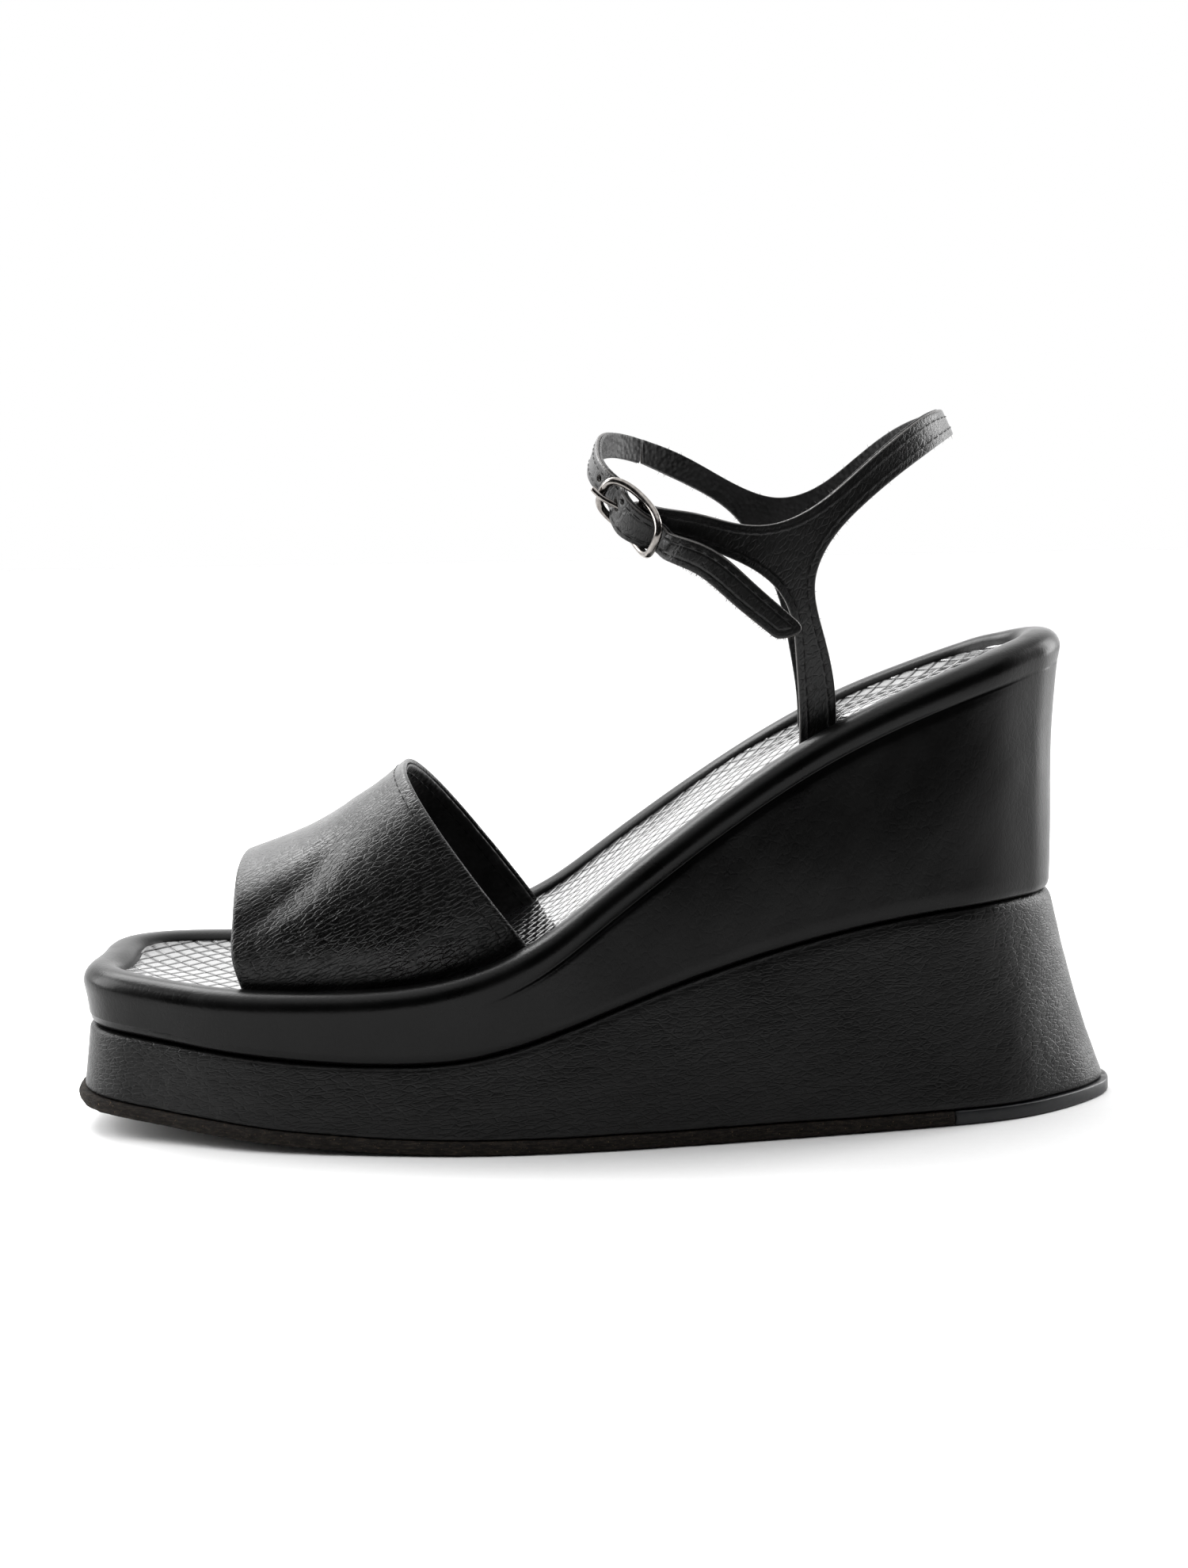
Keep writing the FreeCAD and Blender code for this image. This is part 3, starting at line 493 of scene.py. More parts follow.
ground = ground_at(sole_loop[:, 0])
lower_seam = seam_at(lower_top_loop[:, 0])
rows = [(0.0, 3.4), (0.001, 2.2), (0.004, 0.55), (0.016, 0.12)]
rows += [(share, 0.0) for share in np.linspace(0.04, 0.93, 26)]
rows += [(0.952, 0.06), (0.970, 0.22), (0.985, 0.55), (0.995, 1.1), (0.999, 2.6), (1.0, 5.0), (1.0, 8.0)]
HEEL_HOLLOW = 1.1
heel_share = np.clip((sole_loop[:, 0] - 40) / 60, 0, 1)
cover = []
low = ground + OUTSOLE_THICK
for share, depth in rows:
    height = low + (lower_seam - low) * share
    hollow = depth + HEEL_HOLLOW * math.sin(math.pi * share) * heel_share
    cover.append(lower_wall(height / LOWER_TOP_HEIGHT, hollow, height))
cover = np.array(cover)
flat = cover.reshape(-1, 3)
sway = (waves(flat, 26, 0.16, 3) + waves(flat, 7, 0.03, 4)).reshape(cover.shape[:2])
sway[[0, -1]] = 0
cover[..., :2] += outward(sole_loop)[None] * sway[..., None]
lower_cover = make_piece("lower_tier_leather", cover.reshape(-1, 3),
                         grid_faces(len(rows), AROUND, wrap_columns=True), sole_leather,
                         stands_for=["lower_wedge_cover"])
print("lower cover:", len(lower_cover.data.polygons), "faces")

# %% [markdown]
# The upper cover climbs from the seam, dips into a crease where it meets the padded rim,
# rolls over the foam cord and dives down beside the sock. The roll is an arc of a circle
# 4.3 mm in radius, so its highlight runs as one soft line. At the toe and at the heel the
# crease fades, and the wall leans out to meet the rim instead.

# %% Upper tier's cover and padded rim
def eased(share):
    """A share that leaves 0 and reaches 1 gently."""
    share = np.clip(share, 0, 1)
    return share * share * (3 - 2 * share)


ROLL, ROLL_PROUD, TOE_BULGE, HEEL_FLARE = 4.3, 1.35, 1.4, 2.2
rim = rim_at(last_loop[:, 0])
upper_seam = seam_at(last_loop[:, 0])
seam_turn = [(8.0, 0.02), (3.4, 0.02), (1.7, 0.05), (0.75, 0.4), (0.25, 1.2), (0.0, 2.4)]
crease = [(0.08, -9.0), (0.28, -8.55), (0.22, -8.1)]
roll = [(ROLL - ROLL_PROUD - ROLL * math.cos(angle), ROLL * math.sin(angle) - ROLL)
        for angle in np.radians(np.linspace(-58, 92, 12))]
inner_face = [(4.6, -0.05), (6.0, -0.45), (7.1, -1.2), (7.8, -2.2), (8.2, -3.4), (8.4, -4.8)]
profile = [(depth, upper_seam + up) for depth, up in seam_turn]
wall_foot, wall_top = upper_seam + 2.4, rim - 9.2
profile += [(0.0, wall_foot + (wall_top - wall_foot) * share) for share in np.linspace(0.06, 0.97, 24)]
profile += [(depth, rim + up) for depth, up in crease + roll + inner_face]
behind_toe = eased((last_loop[:, 0] + 32) / 44)
at_heel = eased((last_loop[:, 0] - 72) / 34)
rolled = behind_toe * (1 - 0.9 * at_heel)
lean = TOE_BULGE + (HEEL_FLARE - TOE_BULGE) * at_heel
sharpness = 1.5 + 3.5 * at_heel
cover = []
for row, (depth, height) in enumerate(profile):
    climbed = np.clip((height - upper_seam) / (rim - ROLL - upper_seam), 0, 1)
    plain = np.where(climbed < 1, -lean * climbed ** sharpness, depth + ROLL_PROUD - lean)
    moved = (plain - depth) * (1 - rolled)
    if row < len(seam_turn):
        moved = 0 * moved
    elif depth > 1:
        moved = moved * max(0.0, (6 - depth) / 5)
    plan = inset(last_loop, depth) - outward(last_loop) * moved[:, None]
    cover.append(np.column_stack([plan, height]))
cover = np.array(cover)
flat = cover.reshape(-1, 3)
sway = (waves(flat, 34, 0.10, 7) + waves(flat, 10, 0.02, 8)).reshape(cover.shape[:2])
sway[0] = 0
cover[..., :2] += outward(last_loop)[None] * sway[..., None]
upper_cover = make_piece("upper_tier_leather_and_rim", cover.reshape(-1, 3),
                         grid_faces(len(profile), AROUND, wrap_columns=True), wall_leather,
                         stands_for=["upper_wedge_cover"])
print("upper cover:", len(upper_cover.data.polygons), "faces")

# %% [markdown]
# Inside the rim is a cord of foam, and under the sock a foam pad. Both are closed forms with
# rounded edges: the cord is a circle swept round the shoe, the pad a crowned slab.

# %% Foam cord and foam pad
CORD_RADIUS, CORD_SIDES, MIDDLE_Y = 2.6, 12, 2.0
cord_loop = inset(last_loop, ROLL)
cord_rows = []
for angle in np.linspace(0, 2 * math.pi, CORD_SIDES, endpoint=False):
    across, up = CORD_RADIUS * math.cos(angle), CORD_RADIUS * math.sin(angle)
    if across > 0:
        ring = inset(cord_loop, across)
    else:
        ring = cord_loop - outward(cord_loop) * across
    cord_rows.append(np.column_stack([ring, rim - 4.6 + up])[::4])
cord_rows = np.array(cord_rows)
rim_cord = make_piece("rim_foam_cord", cord_rows.reshape(-1, 3),
                      grid_faces(CORD_SIDES, cord_rows.shape[1], True, True), foam,
                      stands_for=["rim_filler"])


def slab_in_loop(loop, lower, upper, edge, shares):
    """A closed slab that fills a plan loop: rings shrink to the middle line, above and below."""
    rings = []
    for sign, heights, order in ((1, lower, shares), (-1, upper, shares[::-1])):
        for share in order:
            x = loop[:, 0] * (1 - 0.06 * (1 - share))
            y = MIDDLE_Y + (loop[:, 1] - MIDDLE_Y) * share
            rings.append(np.column_stack([x, y, heights(x) + sign * edge * share ** 8]))
    return np.array(rings)


pad_loop = inset(last_loop, 9.4)[::4]
shares = [0.02, 0.3, 0.55, 0.75, 0.9, 1.0]
pad = slab_in_loop(pad_loop, lambda x: rim_at(x) - 6.2, lambda x: rim_at(x) - 4.2, 0.4, shares)
sock_pad = make_piece("sock_foam_pad", pad.reshape(-1, 3), grid_faces(len(pad), len(pad_loop), False, True),
                      foam, stands_for=["sock_pad"])
print("foam cord and pad made")

# %% [markdown]
# Each tier is a block of pressed cork that gives the shoe its height without its weight. The
# covers hide them, so a plain closed form a little smaller than the cover is enough.

# %% Cork blocks
def closed_block(name, bottom, top, lower, upper, node_name):
    """A closed cork block between two heights, tapering from its bottom loop to its top loop."""
    def cap(loop, height, share):
        y = MIDDLE_Y + (loop[:, 1] - MIDDLE_Y) * share
        return np.column_stack([loop[:, 0], y, height(loop[:, 0])])

    rings = [cap(bottom, lower, share) for share in (0.02, 0.35, 0.7)]
    for step in np.linspace(0, 1, 9):
        plan = bottom * (1 - step) + top * step
        low, high = lower(plan[:, 0]), upper(plan[:, 0])
        rings.append(np.column_stack([plan, low + (high - low) * step]))
    rings += [cap(top, upper, share) for share in (0.7, 0.35, 0.02)]
    points = np.array(rings)
    make_piece(name, points.reshape(-1, 3), grid_faces(len(points), len(bottom), False, True), cork,
               stands_for=[node_name])


narrow_top = sole_loop + (lower_top_loop - sole_loop) * (lower_seam / LOWER_TOP_HEIGHT)[:, None]
closed_block("lower_cork_block", inset(sole_loop, 4.5)[::4], inset(narrow_top, 4.0)[::4],
             lambda x: ground_at(x) + OUTSOLE_THICK + 0.2, lambda x: seam_at(x) - 0.8, "lower_wedge_core")
closed_block("upper_cork_block", inset(last_loop, 3.0)[::4], inset(last_loop, 3.0)[::4],
             lambda x: seam_at(x) + 0.8, lambda x: rim_at(x) - 9.4, "upper_wedge_core")
print("cork blocks made")

# %% [markdown]
# The outsole board and the heel's rubber top lift are slabs with the sole's outline. The
# board's edge is sanded, so it stands slightly proud and its corners are broken; the
# lift is moulded, so its corners are crisp and its face is plain.

# %% Outsole and top lift
LIFT_FRONT, LIFT_GAP = 84.0, 0.05


def sole_slab(name, keep_heel, profile, rough, finish, node_name):
    """The part of the sole ahead of or behind the lift line, from rings of (depth, height)."""
    kept = sole_loop[:, 0] >= LIFT_FRONT if keep_heel else sole_loop[:, 0] < LIFT_FRONT
    start = int(np.argmax(kept & ~np.roll(kept, 1)))
    order = (start + np.arange(kept.sum())) % AROUND
    plan = sole_loop[order].copy()
    normal = outward(sole_loop)[order]
    for end in (0, -1):
        plan[end, 0] = LIFT_FRONT
    rings = []
    for depth, height in profile:
        ring = plan - normal * depth
        if keep_heel:
            ring[:, 0] = np.maximum(ring[:, 0], LIFT_FRONT + LIFT_GAP)
        else:
            ring[:, 0] = np.minimum(ring[:, 0], LIFT_FRONT - LIFT_GAP)
        rings.append(np.column_stack([ring, ground_at(ring[:, 0]) + height]))
    rings = np.array(rings)
    flat = rings.reshape(-1, 3)
    jitter = (waves(flat, 2.3, rough, 11) + waves(flat, 0.9, rough * 0.7, 12)).reshape(rings.shape[:2])
    rings[..., :2] += normal[None] * jitter[..., None]
    middle_y = (plan[0, 1] + plan[-1, 1]) / 2
    closing = []
    for end, height in ((0, profile[0][1]), (-1, profile[-1][1])):
        for share in (0.66, 0.33, 0.04):
            ring = rings[end].copy()
            ring[:, 1] = middle_y + (ring[:, 1] - middle_y) * share
            ring[:, 2] = ground_at(ring[:, 0]) + height
            closing.append(ring)
    rows = closing[:3][::-1] + list(rings) + closing[3:]
    points = np.array(rows)
    make_piece(name, points.reshape(-1, 3), grid_faces(len(points), len(plan), False, True), finish,
               stands_for=[node_name])


board_profile = [(0.9, 0.0), (0.25, 0.25), (-0.05, 0.8), (-0.2, 1.7), (-0.1, 2.6), (0.15, 3.15), (0.9, 3.4)]
lift_profile = [(0.5, 0.0), (0.12, 0.12), (0.0, 0.5), (0.0, 1.7), (0.0, 3.0), (0.15, 3.3), (0.6, 3.4)]
sole_slab("leather_board_outsole", False, board_profile, 0.10, board_edge, "outsole")
sole_slab("rubber_top_lift", True, lift_profile, 0.0, lift_rubber, "top_lift")
print("outsole and top lift made")

# %% [markdown]
# The sock's scales are real relief, because their shadows and glare are what the eye
# reads. Each scale is a diamond 5.6 mm long and 7 mm wide: a flat pillow that also tilts
# backwards a little, so one end stands proud. The grid is finer than half a millimetre.

# %% Embossed sock
SCALE_LONG, SCALE_WIDE, SCALE_HIGH = 5.6, 7.0, 0.30
sock_edge = inset(last_loop, 7.9)
dense_x = np.linspace(sock_edge[:, 0].min() + 0.15, sock_edge[:, 0].max() - 0.15, 520)
split = int(np.argmax(sock_edge[:, 0])), int(np.argmin(sock_edge[:, 0]))
first, second = min(split), max(split)
sides = [sock_edge[first:second + 1], np.vstack([sock_edge[second:], sock_edge[:first + 1]])]
edges_y = []
for side in sides:
    side = side[np.argsort(side[:, 0])]
    edges_y.append(np.interp(dense_x, side[:, 0], side[:, 1]))
low_y, high_y = np.minimum(*edges_y), np.maximum(*edges_y)
across = np.linspace(0, 1, 176)
xs = np.repeat(dense_x[:, None], len(across), axis=1)
ys = low_y[:, None] + (high_y - low_y)[:, None] * across[None]
along_foot = np.concatenate([[0], np.cumsum(np.hypot(np.diff(dense_x), np.diff(rim_at(dense_x))))])
run = np.repeat(along_foot[:, None], len(across), axis=1)
first_way = run / SCALE_LONG + ys / SCALE_WIDE
second_way = run / SCALE_LONG - ys / SCALE_WIDE
a, b = first_way % 1.0, second_way % 1.0
to_edge = np.minimum(np.minimum(a, 1 - a), np.minimum(b, 1 - b))
pillow = np.clip(to_edge / 0.09, 0, 1)
pillow = pillow * pillow * (3 - 2 * pillow)
tilt = (a + b) / 2
rise = pillow * (0.80 + 0.20 * tilt)
cup = (2 * across[None] - 1) ** 4 * 1.1 + 0 * xs
zs = rim_at(xs) - 3.2 + cup + rise * SCALE_HIGH
flat = np.stack([xs, ys, zs], axis=-1).reshape(-1, 3)
flat[:, 2] += waves(flat, 34, 0.3, 21)
make_piece("embossed_sock", flat, grid_faces(len(dense_x), len(across)), sock_leather,
           stands_for=["sock_lining"], marks={"rise": rise.reshape(-1)})
print("sock grid: %d points, %.2f mm apart" % (len(flat), dense_x[1] - dense_x[0]))

# %% [markdown]
# The toe band is two layers of leather lasted over the toes and closed at its edges. Its
# sections are arches that lean back. A fair curve runs through each arch and a second one
# runs from arch to arch, which gives a surface; the leather has thickness, rounded edges,
# a soft diagonal valley where it was pulled, and fine wrinkles that run across the foot.

# %% Toe band surface
BAND_SECTIONS = [
    (-83.0, 31.0, -30.9, 34.2, -88.0, 64.3), (-61.0, 31.2, -34.6, 36.8, -74.0, 69.4),
    (-38.0, 33.4, -36.2, 36.4, -62.5, 76.0), (-14.0, 42.4, -34.4, 33.4, -47.5, 87.2),
]
ARCH = [(1.0, 0.0), (1.03, 0.28), (0.97, 0.55), (0.75, 0.82), (0.38, 0.965), (0.0, 1.0)]
BAND_AROUND, BAND_ALONG = 260, 170


def band_arches():
    """The band's outer face as a grid: along the foot one way, over the foot the other."""
    arches = []
    for foot_x, foot_z, outer_y, inner_y, crown_x, crown_z in BAND_SECTIONS:
        half, middle = (inner_y - outer_y) / 2, (inner_y + outer_y) / 2
        pins = [(-w, h) for w, h in ARCH] + [(w, h) for w, h in ARCH[-2::-1]]
        pins = [(foot_x + (crown_x - foot_x) * h, middle + half * w, foot_z + (crown_z - foot_z) * h)
                for w, h in pins]
        at, last = fair_curve(pins)
        arches.append(at(np.linspace(0, last, BAND_AROUND)))
    at, _ = fair_curve(np.array(arches), knots=[0.0, 0.32, 0.65, 1.0])
    return at(np.linspace(0, 1, BAND_ALONG))


band_face = band_arches()
along, around = np.gradient(band_face, axis=0), np.gradient(band_face, axis=1)
band_normal = np.cross(along, around)
band_normal /= np.linalg.norm(band_normal, axis=2, keepdims=True)
if band_normal[BAND_ALONG // 2, BAND_AROUND // 2, 2] < 0:
    band_normal = -band_normal
share_along = np.linspace(0, 1, BAND_ALONG)[:, None]
share_over = np.linspace(0, 1, BAND_AROUND)[None]
valley = np.exp(-((share_over - 0.17 - share_along * 0.26) / 0.042) ** 2)
valley = valley * np.clip(0.3 + share_along * 4, 0, 1) * np.clip(2.2 - share_along * 3, 0, 1)
second_valley = np.exp(-(((share_over - 0.66) + (share_along - 0.4) * 0.3) / 0.07) ** 2)
dents = -1.2 * valley - 0.7 * second_valley * np.clip(share_along * 3, 0, 1)
flat = band_face.reshape(-1, 3) * np.array([1.0, 0.35, 0.6])
wrinkle = (waves(flat, 9.0, 0.06, 31) + waves(flat, 3.0, 0.02, 32)).reshape(band_face.shape[:2])
band_face = band_face + band_normal * (dents + wrinkle)[..., None]
front_swell = np.exp(-((share_over - 0.12) / 0.09) ** 2) * np.clip(1 - share_along * 3, 0, 1) ** 2
band_face[..., 0] -= 2.0 * front_swell
print("band runs %.0f mm over the foot" % np.linalg.norm(np.diff(band_face[0], axis=0), axis=1).sum())

# %% [markdown]
# The band's leather and its lining are two skins of the same surface at different depths. Each
# is a closed grid: out over the face, round the edge and back underneath.

# %% Toe band pieces
BAND_LEATHER, BAND_LINING = 1.3, 0.85


def band_shell(name, near, far, trim, finish, node_name):
    """A layer of the band between two depths, with rounded front and back edges."""
    first, last = trim, BAND_ALONG - 1 - trim
    there = [(row, near) for row in range(first, last + 1)]
    back = [(row, far) for row in range(last, first - 1, -1)]
    middle = (near + far) / 2
    loop = []
    for row, depth in there + back:
        from_edge = min(row - first, last - row)
        easing = math.sqrt(max(0.0, 1 - (1 - min(from_edge / 3.0, 1)) ** 2))
        sunk = middle + (depth - middle) * max(easing, 0.12)
        loop.append(band_face[row] - band_normal[row] * sunk)
    points = np.array(loop)
    make_piece(name, points.reshape(-1, 3), grid_faces(len(points), BAND_AROUND, wrap_rows=True), finish,
               stands_for=[node_name])


band_shell("toe_band_leather", 0.0, BAND_LEATHER, 0, band_leather, "toe_band_outer")
band_shell("toe_band_lining_skin", BAND_LEATHER + 0.04, BAND_LEATHER + BAND_LINING, 2, lining_leather,
           "toe_band_lining")
print("toe band and its lining made")

# %% [markdown]
# Lockstitch is sewn at about 3 mm a stitch. Each stitch is a small pillow of thread that sinks
# at both ends. All the stitches of a seam share one mesh, placed by walking along the seam.

# %% Stitches
STITCH_RINGS, STITCH_SIDES = 7, 6


def unit(vector):
    """The vector at length one."""
    return np.asarray(vector, float) / np.linalg.norm(vector)


def stitch_run(seam, faces_out, pitch=3.0, length=2.3, thick=0.21):
    """Points and quads of the stitches along a seam; faces_out holds the surface normals."""
    run = np.concatenate([[0], np.cumsum(np.linalg.norm(np.diff(seam, axis=0), axis=1))])
    points, faces = [], []
    for middle in np.arange(pitch / 2, run[-1] - pitch / 2, pitch):
        start, end = (np.array([np.interp(middle + way * length / 2, run, line) for line in seam.T])
                      for way in (-1, 1))
        out = unit([np.interp(middle, run, line) for line in faces_out.T])
        side = np.cross(out, unit(end - start))
        first = len(points)
        for share in np.linspace(0, 1, STITCH_RINGS):
            bulge = math.sin(math.pi * share)
            centre = start + (end - start) * share + out * (0.10 * bulge - 0.08)
            radius = thick * (0.45 + 0.55 * max(bulge, 0.0) ** 0.5)
            for angle in np.linspace(0, 2 * math.pi, STITCH_SIDES, endpoint=False):
                points.append(centre + (side * math.cos(angle) + out * math.sin(angle)) * radius)
        faces += grid_faces(STITCH_RINGS, STITCH_SIDES, wrap_columns=True, first=first)
    return points, faces


def stitch_piece(name, runs, body):
    """One mesh of every stitch in several seams."""
    points, faces = [], []
    for seam, out in runs:
        more, quads = stitch_run(seam, out)
        faces += [tuple(i + len(points) for i in quad) for quad in quads]
        points += more
    return make_piece(name, points, faces, thread, body)


topline = BAND_ALONG - 10
inside = band_face[topline] - band_normal[topline] * (BAND_LEATHER + BAND_LINING)
outside = band_face[topline]
stitch_piece("toe_band_stitches", [(inside, -band_normal[topline]), (outside, band_normal[topline])],
             "root")
print("two stitch rows, %.0f mm each" % np.linalg.norm(np.diff(outside, axis=0), axis=1).sum())

# %% [markdown]
# The straps are flat leather bent round the ankle. Each is drawn flat, as a pattern cutter
# would, filled with triangles, and then laid on the ankle form. Where a piece has a
# cut edge the leather thins, so its rim is rounded; each point also keeps its margin
# from the edge, which the leather finish uses for the stitch groove and the raw edge.

# %% Cutting flat patterns
def dense_line(pins, spacing=0.5):
    """A fair curve (or a straight line, for two pins) as closely spaced points."""
    pins = np.array(pins, float)
    if len(pins) == 2:
        count = max(2, int(np.linalg.norm(pins[1] - pins[0]) / spacing) + 1)
        return pins[0] + (pins[1] - pins[0]) * np.linspace(0, 1, count)[:, None]
    at, last = fair_curve(pins)
    return at(np.linspace(0, last, max(3, int(last / spacing))))


def inside_loops(points, loops):
    """Which points lie inside an odd number of closed loops."""
    result = np.zeros(len(points), bool)
    for loop in loops:
        following = np.roll(loop, -1, axis=0)
        for (x1, y1), (x2, y2) in zip(loop, following):
            if y1 == y2:
                continue
            crosses = (points[:, 1] < y1) != (points[:, 1] < y2)
            reach = x1 + (points[:, 1] - y1) * (x2 - x1) / (y2 - y1)
            result ^= crosses & (points[:, 0] < reach)
    return result


def margin_to(points, loops, joined=None):
    """Distance to the nearest edge of the loops; edges where joined is true don't count."""
    best = np.full(len(points), 1e9)
    for loop in loops:
        for start, end in zip(loop, np.roll(loop, -1, axis=0)):
            if joined and joined(start) and joined(end):
                continue
            along = end - start
            square = along @ along
            if square < 1e-12:
                continue
            share = np.clip(((points - start) @ along) / square, 0, 1)
            gap = np.linalg.norm(points - start - share[:, None] * along, axis=1)
            best = np.minimum(best, gap)
    return best


def cut_pattern(outline, holes=(), spacing=1.0, joined=None):
    """A flat pattern filled with triangles: points, triangles, and each point's margin."""
    loops = [outline] + list(holes)
    low, high = outline.min(axis=0), outline.max(axis=0)
    grid_x, grid_y = np.meshgrid(np.arange(low[0], high[0], spacing),
                                 np.arange(low[1], high[1], spacing * 0.87))
    grid_x[1::2] += spacing / 2
    filling = np.column_stack([grid_x.ravel(), grid_y.ravel()])
    filling = filling[inside_loops(filling, loops)]
    filling = filling[margin_to(filling, loops) > 1.2]
    rings = []
    for loop in loops:
        towards = inward(loop) * (1 if loop is outline else -1)
        for depth in (0.12, 0.3, 0.6, 0.95):
            ring = loop + towards * depth
            rings.append(ring[(margin_to(ring, loops) > depth * 0.93) & inside_loops(ring, loops)])
    points = np.vstack(loops + rings + [filling])
    edges, first = [], 0
    for loop in loops:
        edges += [(first + i, first + (i + 1) % len(loop)) for i in range(len(loop))]
        first += len(loop)
    made = delaunay_2d_cdt([Vector(p) for p in points], edges, [], 0, 1e-5)
    points = np.array([tuple(v) for v in made[0]])
    triangles = np.array([tuple(f) for f in made[2]])
    triangles = triangles[inside_loops(points[triangles].mean(axis=1), loops)]
    corner = points[triangles]
    turn = np.cross(corner[:, 1] - corner[:, 0], corner[:, 2] - corner[:, 0])
    triangles[turn < 0] = triangles[turn < 0][:, ::-1]
    return points, triangles, margin_to(points, loops, joined)


def leather_layer(name, pattern, lay, near, far, finish, body, stands_for=(), edge_round=0.5,
                  flip=False):
    """A layer of leather cut to a pattern and laid between two depths of a form."""
    flat, triangles, margin = pattern
    easing = edge_round * (1 - np.sqrt(np.clip(1 - (1 - np.clip(margin / edge_round, 0, 1)) ** 2, 0, 1)))
    thick = far - near
    top = lay(flat, near + np.minimum(easing, thick * 0.45))
    under = lay(flat, far - np.minimum(easing, thick * 0.45))
    count = len(flat)
    sides = {}
    for a, b, c in triangles:
        for edge in ((a, b), (b, c), (c, a)):
            sides[edge] = sides.get(edge, 0) + 1
    rim = [(a, b) for a, b in sides if (b, a) not in sides]
    faces = [tuple(t) for t in triangles] + [(c + count, b + count, a + count) for a, b, c in triangles]
    faces += [(b, a, a + count, b + count) for a, b in rim]
    if flip:
        faces = [face[::-1] for face in faces]
    return make_piece(name, np.vstack([top, under]), faces, finish, body, stands_for,
                      {"margin": np.concatenate([margin, margin])})


def inner_seam(outline, depth, lay, surface_depth):
    """A seam line a set margin inside a pattern's edge, laid on the form with its normals."""
    ring = outline + inward(outline) * depth
    keep = margin_to(ring, [outline]) > depth * 0.96
    start = 0 if keep.all() else int(np.argmin(keep))
    lines, current = [], []
    for i in np.roll(np.arange(len(ring)), -start):
        if keep[i]:
            current.append(ring[i])
        else:
            lines.append(current)
            current = []
    lines.append(current)
    lines = [np.array(line) for line in lines if len(line) > 6]
    laid = []
    for line in lines:
        surface = lay(line, np.full(len(line), surface_depth))
        above = lay(line, np.full(len(line), surface_depth - 0.5))
        out = above - surface
        laid.append((surface, out / np.linalg.norm(out, axis=1, keepdims=True)))
    return laid


print("pattern tools ready; a 10 by 6 mm test patch has",
      len(cut_pattern(np.array([(0, 0), (10, 0), (10, 6), (0, 6)], float))[1]), "triangles")

# %% [markdown]
# The two quarters lie on a form round the ankle: a stack of ovals whose sizes change with
# height. A pattern's first number runs along one oval chosen for measuring, and its second is
# the height, so laying a point on the form is a matter of finding its angle on the oval.

# %% The ankle form
RING_HEIGHTS = [84.0, 108.0, 134.0, 174.0]
RING_FRONTS = [-6.0, -6.0, -6.0, 3.2]
RING_BACKS = [99.0, 99.0, 98.0, 83.0]
RING_HALF_WIDTHS = [21.2, 25.9, 30.4, 30.4]
form_lines = [height_line(zip(RING_HEIGHTS, sizes)) for sizes in (RING_FRONTS, RING_BACKS, RING_HALF_WIDTHS)]
turns = np.linspace(0, math.pi, 721)
MEASURING_OVAL = (50, 30)
turn_steps = np.hypot(np.diff(MEASURING_OVAL[0] * np.cos(turns)), np.diff(MEASURING_OVAL[1] * np.sin(turns)))
turn_run = np.concatenate([[0], np.cumsum(turn_steps)])


def oval_at(height):
    """Centre, half length and half width of the ankle form at a height."""
    front, back, half_width = (line(height) for line in form_lines)
    return (front + back) / 2, (back - front) / 2, half_width


def side_view_to_flat(pins):
    """A side-view line of (X, Z) as flat pattern points; what lies behind the back seam goes."""
    line = dense_line(pins)
    middle, half_length, _ = oval_at(line[:, 1])
    cosine = (line[:, 0] - middle) / half_length
    kept = cosine <= 1.0
    kept = kept | np.append(kept[1:], False) | np.insert(kept[:-1], 0, False)
    turn = np.arccos(np.clip(cosine, -1, 1))
    return np.column_stack([np.interp(turn, turns, turn_run), line[:, 1]])[kept]


def lay_on_ankle(side):
    """A function that lays flat points on one side of the ankle form at a depth. The outer
    quarter's front end lifts off the form towards the buckle's bar."""
    def lay(flat, depth):
        turn = np.interp(flat[:, 0], turn_run, turns)
        middle, half_length, half_width = oval_at(flat[:, 1])
        if side < 0:
            lift = np.clip((32 - middle - half_length * np.cos(turn)) / 21, 0, 1)
            depth = depth - 2.5 * lift * lift * (3 - 2 * lift)
        return np.column_stack([middle + (half_length - depth) * np.cos(turn),
                                side * (half_width - depth) * np.sin(turn), flat[:, 1]])
    return lay


print("the measuring oval is %.0f mm round on each side" % turn_run[-1])

# %% [markdown]
# Each quarter is a Y: a leg up from the wedge, an arm back to the heel seam and an arm
# forward. Its outline is drawn in side view, as the eye meets it, and unrolled.

# %% Quarter patterns
LEG_HINGES = {"outer": (0.0526, -0.023, 0.0974), "inner": (0.0563, 0.023, 0.0992)}


def bend_leg(piece, side_name):
    """Bakes a piece's placement into its mesh; the leg's hinge is looked up but not used."""
    x, y, z = LEG_HINGES[side_name]
    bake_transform(piece)


def even_outline(stretches, spacing=0.55):
    """The stretches joined into one closed outline with even steps."""
    line = np.vstack(stretches)
    step = np.linalg.norm(np.diff(line, axis=0), axis=1)
    line = line[np.concatenate([[True], step > 1e-3])]
    closed = np.vstack([line, line[:1]])
    run = np.concatenate([[0], np.cumsum(np.linalg.norm(np.diff(closed, axis=0), axis=1))])
    where = np.linspace(0, run[-1], int(run[-1] / spacing), endpoint=False)
    return np.column_stack([np.interp(where, run, closed[:, k]) for k in (0, 1)])


